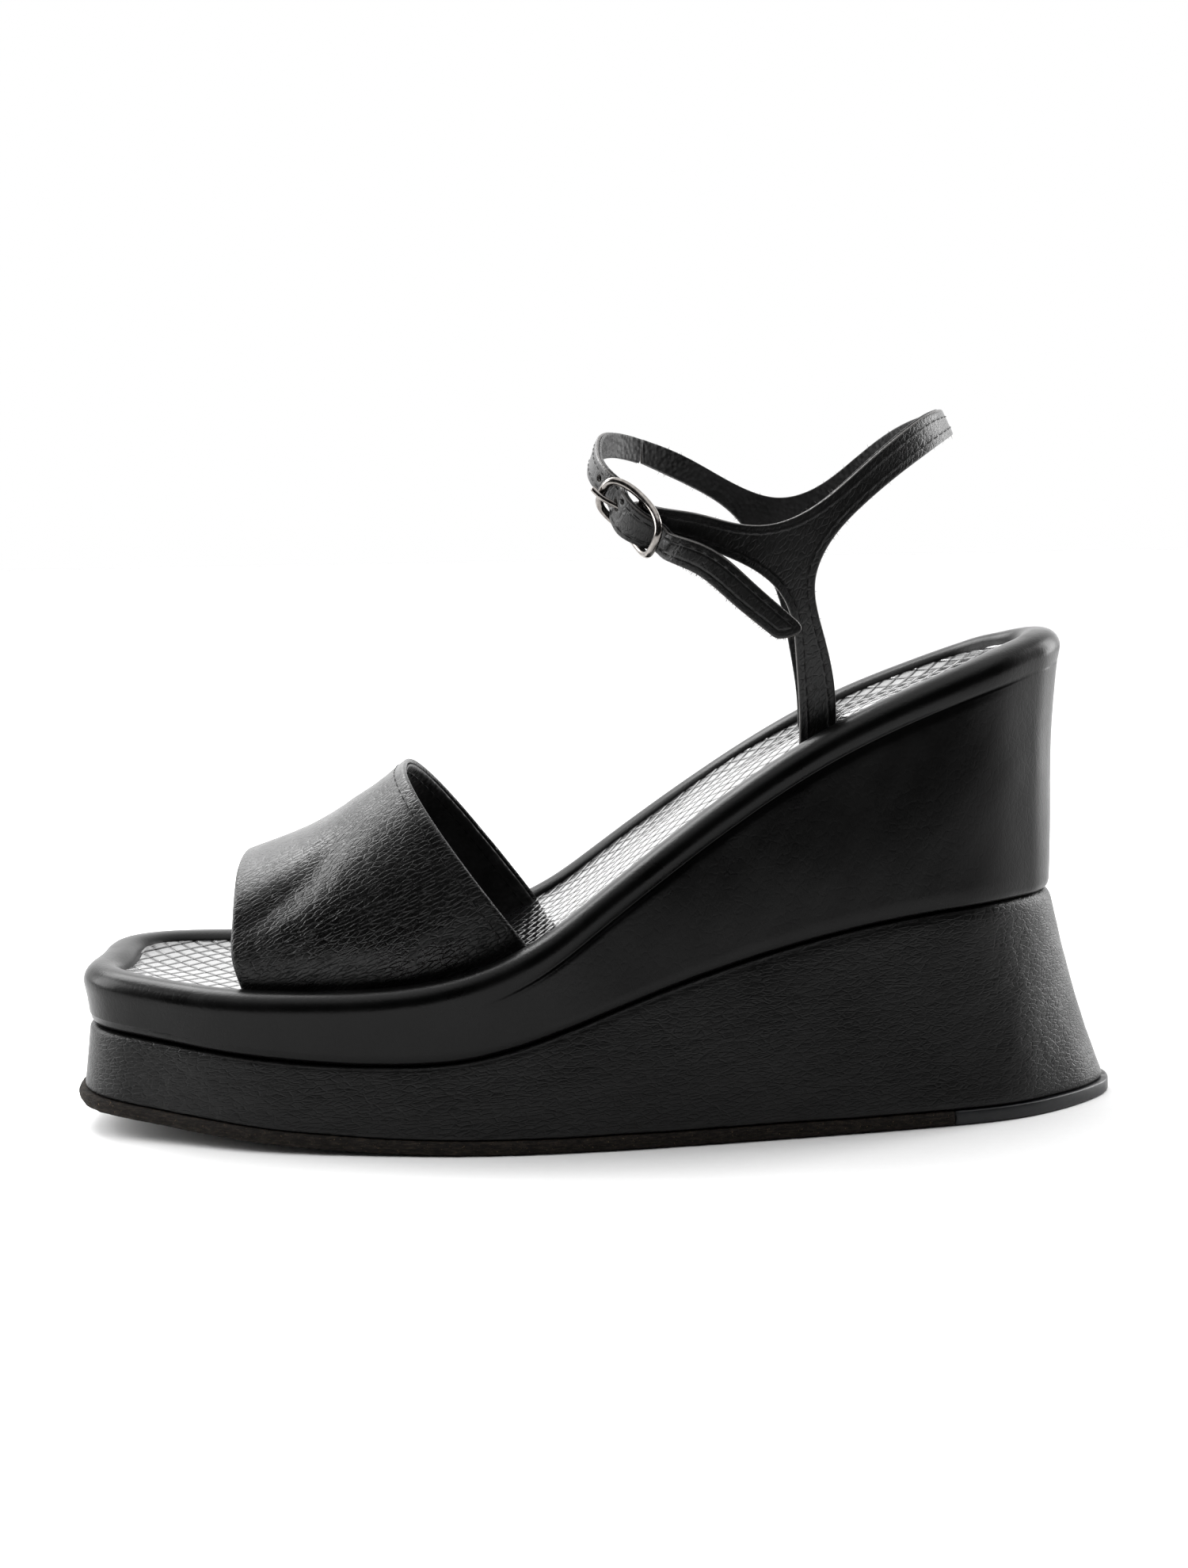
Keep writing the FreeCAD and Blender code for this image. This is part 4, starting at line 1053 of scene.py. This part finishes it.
UPPER_LEATHER, LINING, GLUE = 1.0, 0.65, 0.04
outer_outline = even_outline([side_view_to_flat(pins) for pins in (
    [(13.6, 148.3), (16, 147.6), (23.2, 146.2), (31.5, 143.9), (40.6, 143.1), (49.7, 146.2), (63.7, 156.8),
     (73.8, 164.4), (81.3, 168.6), (90, 170.4)],
    [(90, 164.4), (85.9, 162.7), (79.1, 158.8), (73.4, 155.1), (63.5, 147.6), (54.6, 138.0),
     (51.6, 130.0), (53.4, 118.6), (56.4, 105.5), (57.0, 97.4), (57.0, 86.0)],
    [(57.0, 86.0), (48.2, 86.0)],
    [(48.2, 86.0), (48.2, 97.4), (47.2, 112.2), (46.4, 119.4), (43.8, 126.4), (39.6, 131.0),
     (33.0, 134.9), (24.0, 138.4), (16.0, 140.9), (14.4, 141.5)],
    [(14.4, 141.5), (13.6, 148.3)])])
inner_outline = even_outline([side_view_to_flat(pins) for pins in (
    [(12.3, 164.3), (20.0, 161.6), (30.3, 156.4), (40.6, 151.1), (48.5, 149.2), (56.5, 150.9),
     (66.1, 157.2), (80.6, 167.4), (90, 170.4)],
    [(90, 164.4), (85.0, 163.0), (76.5, 158.6), (66.5, 151.0), (58.5, 142.0), (55.6, 132.0),
     (56.6, 119.0), (59.6, 107.0), (60.7, 99.2), (60.7, 86.0)],
    [(60.7, 86.0), (51.9, 86.0)],
    [(51.9, 86.0), (51.9, 99.2), (50.2, 112.0), (48.6, 121.0), (45.0, 131.0), (40.5, 139.6),
     (35.5, 145.7), (25.1, 152.4), (14.7, 157.3), (12.3, 158.4)],
    [(12.3, 158.4), (12.3, 164.3)])])
for side_name, side, outline in (("outer", -1, outer_outline), ("inner", 1, inner_outline)):
    lay = lay_on_ankle(side)
    front_end = outline[:, 0].max() - 0.4
    pattern = cut_pattern(outline, joined=lambda point: point[0] < 0.3 or side > 0 and point[0] > front_end)
    leather_nodes = [side_name + "_quarter_leather", side_name + "_anchor_tab"]
    leather = leather_layer(side_name + "_quarter", pattern, lay, 0.0, UPPER_LEATHER, strap_leather,
                            None, leather_nodes, flip=side > 0)
    skin = leather_layer(side_name + "_quarter_skin", pattern, lay, UPPER_LEATHER + GLUE,
                         UPPER_LEATHER + GLUE + LINING, lining_leather, None,
                         [side_name + "_quarter_lining"], edge_round=0.3, flip=side > 0)
    seams = inner_seam(outline, STITCH_MARGIN, lay, 0.0)
    stitches = stitch_piece(side_name + "_quarter_stitches", seams, None)
    for piece in (leather, skin, stitches):
        bend_leg(piece, side_name)
    print(side_name, "quarter:", len(pattern[1]), "triangles,", len(seams), "seams")

# %% [markdown]
# The billet goes on from the inner quarter's front, round the ankle, under the ring, over
# the bar and under the ring again; the free tail hangs past it. Its pattern is a long
# rectangle with a slanted, rounded tip and punched holes, laid along a ribbon that is
# faired through stations: a centre, the direction across, and half the width.

# %% The billet's ribbon
BUCKLE_CENTRE = np.array([10.1, -24.6, 145.5])
BUCKLE_U = unit((-0.60, 0.46, 0.65))
BUCKLE_V = np.array([0.35, -0.58, 0.735])
BUCKLE_V = unit(BUCKLE_V - BUCKLE_U * (BUCKLE_U @ BUCKLE_V))
BUCKLE_N = unit(np.cross(BUCKLE_V, BUCKLE_U))


def at_buckle(u, v, n):
    """A point in the buckle's own directions: along the strap, across it, outwards."""
    return BUCKLE_CENTRE + BUCKLE_U * u + BUCKLE_V * v + BUCKLE_N * n


RING_HALF_LENGTH, RING_HALF_WIDTH, RING_ARCH, RING_WIRE = 9.6, 5.4, 2.4, 0.95
UNDER_RING = RING_ARCH - RING_WIRE - UPPER_LEATHER - 1.5
OVER_BAR = 1.9 + LINING + 0.25
STATIONS = [
    ((20.4, 24.5, 158.3), (0.02, 0, 1), 3.0), ((12.5, 19.9, 161.3), (0.03, 0, 1), 3.0),
    ((5.6, 11.6, 162.7), (0.12, 0, 1), 3.0),
    ((1.9, 1.0, 161.4), (0.28, 0, 0.96), 3.1), ((1.0, -9.5, 157.6), (0.36, -0.30, 0.88), 3.2),
    (at_buckle(10.2, 0, UNDER_RING), BUCKLE_V, 3.3), (at_buckle(7.9, 0, UNDER_RING), BUCKLE_V, 3.3),
    (at_buckle(4.6, 0, OVER_BAR * 0.5), BUCKLE_V, 3.3), (at_buckle(0, 0, OVER_BAR), BUCKLE_V, 3.3),
    (at_buckle(-4.6, 0, OVER_BAR * 0.45), BUCKLE_V, 3.3), (at_buckle(-7.9, 0, UNDER_RING), BUCKLE_V, 3.3),
    (at_buckle(-10.2, 0, UNDER_RING), BUCKLE_V, 3.3),
    ((18.4, -30.8, 138.1), (0.42, -0.42, 0.80), 3.2), ((24.6, -33.6, 135.6), (0.50, -0.22, 0.84), 3.2),
    ((33.6, -35.4, 128.4), (0.62, -0.08, 0.78), 3.2), ((40.6, -35.8, 122.2), (0.68, 0, 0.73), 3.2),
    ((46.4, -35.8, 117.2), (0.70, 0, 0.71), 3.2),
]
ribbon_at, ribbon_long = fair_curve([centre for centre, across, half in STATIONS])
station_run = np.concatenate([[0], np.cumsum([
    np.linalg.norm(np.subtract(b[0], a[0])) for a, b in zip(STATIONS, STATIONS[1:])])])
across_at, _ = fair_curve([unit(across) for centre, across, half in STATIONS], knots=station_run)


def lay_on_ribbon(flat, depth):
    """Lays flat points (along, across) on the billet's ribbon at a depth below its face."""
    centre = ribbon_at(flat[:, 0])
    step = ribbon_at(flat[:, 0] + 0.3) - ribbon_at(flat[:, 0] - 0.3)
    step /= np.linalg.norm(step, axis=1, keepdims=True)
    across = across_at(flat[:, 0])
    across = across - step * np.sum(across * step, axis=1, keepdims=True)
    across /= np.linalg.norm(across, axis=1, keepdims=True)
    out = -np.cross(across, step)
    height = UPPER_LEATHER + 0.02 - depth - 0.012 * flat[:, 1] ** 2
    return centre + across * flat[:, 1:2] + out * height[:, None]


print("the billet and its tail are %.0f mm long" % ribbon_long)

# %% [markdown]
# The billet is wide where the ring frames it and narrow elsewhere, with a slanted tip. Three
# holes are punched in it, and the prong has pulled its own hole long.

# %% Billet and tail
start_run, front_run = station_run[1], station_run[4]
buckle_run, fold_run = station_run[8], station_run[12]
tip = [(ribbon_long - 5.6, -3.2), (ribbon_long - 3.6, -3.0), (ribbon_long - 1.9, -1.6),
       (ribbon_long - 0.4, 0.9), (ribbon_long - 0.3, 2.2), (ribbon_long - 1.4, 3.0), (ribbon_long - 3.0, 3.2)]
billet_outline = even_outline([
    dense_line([(start_run, -3.0), (front_run, -3.2), (buckle_run - 10, -4.3), (buckle_run - 7, -4.8),
                (buckle_run - 4, -4.5), (buckle_run, -4.9), (buckle_run + 4, -4.5), (buckle_run + 7, -4.4),
                (buckle_run + 9.5, -3.7), (fold_run + 3, -3.3),
                (ribbon_long - 5.6, -3.2)]),
    dense_line(tip),
    dense_line([(ribbon_long - 3.0, 3.2), (fold_run + 3, 3.25), (buckle_run + 8, 3.5), (buckle_run + 4, 4.2),
                (buckle_run - 4, 4.2), (buckle_run - 8, 3.6), (front_run, 3.2), (start_run, 3.0)]),
    dense_line([(start_run, 3.0), (start_run, -3.0)])])


def punched(run, across, radius, pulled=1.0):
    """A punched hole as a loop in the pattern, pulled long where the prong has worn it."""
    angles = np.linspace(0, 2 * math.pi, 20, endpoint=False)
    return np.column_stack([run + radius * pulled * np.cos(angles), across + radius * np.sin(angles)])


holes = [punched(buckle_run - 15.0, 0.0, 0.8), punched(buckle_run - 4.8, 0.0, 1.0, pulled=2.0),
         punched(buckle_run - 2.6, 2.9, 0.5)]
billet_pattern = cut_pattern(billet_outline, holes, spacing=0.95,
                             joined=lambda point: point[0] < start_run + 0.1)
billet = leather_layer("billet_and_tail", billet_pattern, lay_on_ribbon, 0.0, UPPER_LEATHER, strap_leather,
                       None, ["strap_tail_leather"])
billet_skin = leather_layer("billet_and_tail_skin", billet_pattern, lay_on_ribbon, UPPER_LEATHER + GLUE,
                            UPPER_LEATHER + GLUE + LINING, lining_leather, None,
                            ["strap_tail_lining"], edge_round=0.3)
billet_stitches = stitch_piece("billet_stitches", inner_seam(billet_outline, 1.5, lay_on_ribbon, 0.0),
                               None)
fold_from, fold_to = ribbon_at(fold_run - 2.5) * MM, ribbon_at(fold_run + 2.5) * MM


def bend_tail(piece):
    """Bakes a piece's placement into its mesh; the fold's two ends are read but not used."""
    tuple(fold_from)
    tuple(fold_to)
    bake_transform(piece)


for piece in (billet, billet_skin, billet_stitches):
    bend_tail(piece)
print("billet:", len(billet_pattern[1]), "triangles")

# %% [markdown]
# The straps' lower edges were cut, not folded, so loose fibres of the flesh side stand out
# along them. Each is a thin three-sided spike, half a millimetre to a millimetre long.

# %% Loose fibres
def fibres(name, outline, lay, chosen, seed, count):
    """Fibres that stand out of a pattern's edge where chosen is true for the flat point."""
    chance = random.Random(seed)
    out = -inward(outline)
    spots = [i for i in range(len(outline)) if chosen(outline[i], out[i])]
    points, faces = [], []
    for _ in range(count):
        i = chance.choice(spots)
        root = outline[i] - out[i] * 0.1
        lean = np.array([chance.uniform(-0.7, 0.7), chance.uniform(-0.7, 0.7)])
        end = root + (out[i] + lean) * chance.uniform(0.3, 0.75)
        depth = chance.uniform(0.5, 1.5)
        line = lay(np.array([root, end]), np.array([depth, depth + chance.uniform(-0.2, 0.2)]))
        heading = unit(line[1] - line[0])
        side = unit(np.cross(heading, (0.3, 0.5, 0.81)))
        other = np.cross(heading, side)
        first = len(points)
        for angle in (0, 2.1, 4.2):
            points.append(line[0] + (side * math.cos(angle) + other * math.sin(angle)) * 0.07)
        points.append(line[1])
        faces += [(first, first + 1, first + 3), (first + 1, first + 2, first + 3),
                  (first + 2, first, first + 3), (first + 2, first + 1, first)]
    return make_piece(name, points, faces, strap_leather, None)


def leg_edges(point, out):
    """The two sides of a leg and the undersides of its arms."""
    return abs(out[0]) > 0.25 and point[1] > 100 or out[1] < -0.25


def tail_underside(point, out):
    """The lower edge of the free tail."""
    return point[0] > fold_run + 1 and out[1] < -0.25


for side_name, side, outline, seed in (("outer", -1, outer_outline, 51), ("inner", 1, inner_outline, 52)):
    piece = fibres(side_name + "_fibres", outline, lay_on_ankle(side), leg_edges, seed, 150)
    bend_leg(piece, side_name)
bend_tail(fibres("tail_fibres", billet_outline, lay_on_ribbon, tail_underside, 53, 170))
print("fibres on three edges")

# %% [markdown]
# The ring is bent from round nickel-plated wire, and arches so that the strap can
# pass under its ends. A bar crosses it, and the prong turns on the bar. Each is wire, so
# each is a circle swept along its middle line.

# %% Buckle
def wire(name, path, radii, body, stands_for, closed=False, sides=20):
    """Wire of round section along a path of points, with rounded ends if it is open."""
    path = np.array(path, float)
    if closed:
        heading = np.roll(path, -1, axis=0) - np.roll(path, 1, axis=0)
    else:
        heading = np.gradient(path, axis=0)
    heading /= np.linalg.norm(heading, axis=1, keepdims=True)
    side = np.cross(heading, BUCKLE_N)
    side /= np.linalg.norm(side, axis=1, keepdims=True)
    up = np.cross(side, heading)
    radii = np.broadcast_to(radii, len(path))
    rings = []
    for angle in np.linspace(0, 2 * math.pi, sides, endpoint=False):
        rings.append(path + (side * math.cos(angle) + up * math.sin(angle)) * radii[:, None])
    points = np.stack(rings, axis=1)
    make_piece(name, points.reshape(-1, 3), grid_faces(len(path), sides, closed, True), nickel,
               body, stands_for)


RING_SQUARENESS = 3.6
angles = np.linspace(0, 2 * math.pi, 160, endpoint=False)
ring_u, ring_v = (half * np.sign(wave) * np.abs(wave) ** (2 / RING_SQUARENESS) for half, wave in (
    (RING_HALF_LENGTH, np.cos(angles)), (RING_HALF_WIDTH, np.sin(angles))))
ring_n = RING_ARCH * (ring_u / RING_HALF_LENGTH) ** 2
ring_path = np.array([at_buckle(*place) for place in zip(ring_u, ring_v, ring_n)])
closed_path = np.vstack([ring_path, ring_path[:1]])
run = np.concatenate([[0], np.cumsum(np.linalg.norm(np.diff(closed_path, axis=0), axis=1))])
even = np.linspace(0, run[-1], 180, endpoint=False)
ring_path = np.column_stack([np.interp(even, run, line) for line in closed_path.T])
for _ in range(4):
    ring_path = ring_path * 0.5 + (np.roll(ring_path, 1, axis=0) + np.roll(ring_path, -1, axis=0)) * 0.25
wire("buckle_ring", ring_path, RING_WIRE, "buckle", ["buckle_frame"], closed=True, sides=28)
bar_path = [at_buckle(0, v, 0) for v in np.linspace(-RING_HALF_WIDTH, RING_HALF_WIDTH, 24)]
wire("buckle_cross_bar", bar_path, 0.8, "buckle", ["buckle_bar"])
PRONG_PINS = [(-1.35, 0.2), (-0.4, 1.45), (1.1, 1.5), (3.4, 1.7), (6.2, 3.2), (9.8, 4.15), (11.6, 4.1)]
prong_at, prong_long = fair_curve([at_buckle(u, 0, n) for u, n in PRONG_PINS])
prong_run = np.linspace(0, prong_long, 60)
taper = np.clip(np.minimum(prong_run + 0.05, prong_long - prong_run + 0.02) / 0.7, 0, 1)
prong_radii = 0.72 * np.sqrt(np.clip(1 - (1 - taper) ** 2, 0.001, 1))
wire("buckle_tongue", prong_at(prong_run), prong_radii, "prong", ["buckle_prong"])
print("ring %.1f mm long, prong %.1f mm" % (2 * (RING_HALF_LENGTH + RING_WIRE), prong_long))

# %% [markdown]
# A leather loop holds the bar: a strip that runs from the outer quarter, round the bar and
# back, and is sewn down. It is one thick ribbon with rounded edges.

# %% Buckle loop
LOOP_BEND, LOOP_HALF = 1.42, 3.2
GATE_HALF_LONG, GATE_HALF_WIDE = 2.6, 1.1
turn_round = [(LOOP_BEND * math.cos(angle), LOOP_BEND * math.sin(angle))
              for angle in np.radians(np.linspace(-115, 115, 9))]
loop_pins = [(-8.5, -4.0), (-5.5, -3.2), (-3.2, -2.4)] + turn_round
loop_pins += [(-3.2, -0.2), (-5.6, -1.1), (-8.4, -1.7)]
loop_at, loop_long = fair_curve([at_buckle(u, 0, n) for u, n in loop_pins])


def lay_on_loop(flat, depth):
    """Lays flat points (along, across) on the loop's middle line at a depth below its face."""
    centre = loop_at(flat[:, 0])
    step = loop_at(flat[:, 0] + 0.15) - loop_at(flat[:, 0] - 0.15)
    step /= np.linalg.norm(step, axis=1, keepdims=True)
    out = np.cross(step, BUCKLE_V)
    return centre + BUCKLE_V * flat[:, 1:2] + out * (0.5 - depth)[:, None]



def rectangle(start, end, half):
    """A rectangle's outline from four straight stretches."""
    corners = [(start, -half), (end, -half), (end, half), (start, half)]
    return even_outline([dense_line(pair) for pair in zip(corners, corners[1:] + corners[:1])])


loop_outline = rectangle(0, loop_long, LOOP_HALF)
gate = rectangle(loop_long / 2 - GATE_HALF_LONG, loop_long / 2 + GATE_HALF_LONG, GATE_HALF_WIDE)
leather_layer("bar_loop", cut_pattern(loop_outline, [gate], 0.9), lay_on_loop, 0.0, 0.95, strap_leather,
              "ankle_strap", ["buckle_loop"])
print("loop ribbon %.0f mm long" % loop_long)

# %% [markdown]
# The floor is a sheet of pale card that runs five metres back to the white room. It ends
# 300 mm in front of the frame's origin, and lies 0.2 mm below the outsole.

# %% Floor
card, tree, shader = new_finish("pale_uncoated_card", IOR=1.45, Roughness=0.9)
tooth = add_node(tree, "TexNoise", {"Vector": in_mm(tree)}, Scale=0.6, Detail=5.0)
tone = add_node(tree, "Mix", {"Factor": tooth}, RGBA, A=hex_colour("f3f3f3"), B=hex_colour("f8f8f8"))
relief = add_node(tree, "Bump", {"Height": tooth}, Strength=0.1, Distance=0.05 * MM)
feed(tree, shader, {"Base Color": tone, "Normal": relief})
mesh = bpy.data.meshes.new("floor")
mesh.from_pydata([(-4, -0.30, 0), (4, -0.30, 0), (4, 5, 0), (-4, 5, 0)], [], [(0, 1, 2, 3)])
mesh.materials.append(card)
floor = bpy.data.objects.new("floor", mesh)
floor.location.z = -0.0002
bpy.context.scene.collection.objects.link(floor)
floor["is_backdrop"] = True
print("floor:", card.name)

# %% [markdown]
# The camera stands half a metre out on the outer side, level with the buckle, and looks
# slightly down through a normal lens. The picture is turned by about one degree.

# %% Camera
PITCH, ROLL_ANGLE = math.radians(7.4), math.radians(1.05)
looking = Vector((0, math.cos(PITCH), -math.sin(PITCH)))
right = Vector((1, 0, 0))
up = right.cross(looking)
tilted_right = right * math.cos(ROLL_ANGLE) - up * math.sin(ROLL_ANGLE)
tilted_up = right * math.sin(ROLL_ANGLE) + up * math.cos(ROLL_ANGLE)
lens = bpy.data.cameras.new("studio_camera")
lens.lens = 50.1
lens.sensor_width = 36
camera = bpy.data.objects.new("studio_camera", lens)
camera.matrix_world = Matrix.Translation(Vector((-0.6, -536, 149.3)) * MM) @ Matrix(
    (tilted_right, tilted_up, -looking)).transposed().to_4x4()
bpy.context.scene.collection.objects.link(camera)
bpy.context.scene.camera = camera
print("camera %.0f mm from the frame's origin" % (camera.location.length / MM))

# %% [markdown]
# The studio is bright at the sides, behind and above, and dark where the viewer stands, which
# is why black leather shows long soft highlights yet stays black in its middle. Softboxes
# are area lights; the white room is the world, brighter the further behind or above.

# %% Studio light
def softbox(name, place, aim, width, height, watts):
    """A large soft light at a place, turned to face a point."""
    light = bpy.data.lights.new(name, "AREA")
    light.shape = "RECTANGLE"
    light.size, light.size_y, light.energy = width, height, watts
    lamp = bpy.data.objects.new(name, light)
    lamp.location = place
    lamp.rotation_euler = (Vector(aim) - Vector(place)).to_track_quat("-Z", "Y").to_euler()
    bpy.context.scene.collection.objects.link(lamp)
    lamp.visible_camera = False


softbox("left_softbox", (-0.95, 0.10, 0.50), (0, 0, 0.06), 0.6, 0.7, 10.0)
softbox("right_softbox", (0.95, 0.42, 0.40), (0, 0, 0.08), 0.35, 0.8, 9.0)
softbox("top_softbox", (-0.45, 0.55, 0.85), (-0.06, 0, 0.06), 0.62, 0.5, 8.5)

world = bpy.data.worlds.new("studio")
bpy.context.scene.world = world
world.use_nodes = True
tree = world.node_tree
heading = add_node(tree, "TexCoord").outputs["Generated"]
parts = add_node(tree, "SeparateXYZ", {"Vector": heading})
behind = add_node(tree, "MapRange", {"Value": parts.outputs["Y"]}, From_Min=-0.2, From_Max=0.7,
                  To_Min=0.03, To_Max=2.0)
above = add_node(tree, "MapRange", {"Value": parts.outputs["Z"]}, From_Min=0.72, From_Max=0.95,
                 To_Max=2.2)
stronger = add_node(tree, "Math", {0: behind, 1: above}, {"operation": "MAXIMUM"})
backdrop = tree.nodes["Background"]
backdrop.inputs["Color"].default_value = hex_colour("fbfbfb")
feed(tree, backdrop, {"Strength": stronger})
plain = add_node(tree, "Background", Color=hex_colour("ffffff"))
seen = add_node(tree, "LightPath").outputs["Is Camera Ray"]
chosen = add_node(tree, "MixShader", {"Fac": seen, 1: backdrop, 2: plain})
feed(tree, tree.nodes["World Output"], {"Surface": chosen})
bpy.context.scene.view_settings.view_transform = "Standard"
print("three softboxes and a white room")

# %% [markdown]
# Last, the dressed sandal's box is measured and printed, as the frame's own box was at the start.

# %% Sizes and the finish
finished_box = [list(corner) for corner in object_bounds()]
print("visual box in mm:", [[round(v / MM, 1) for v in corner] for corner in finished_box])
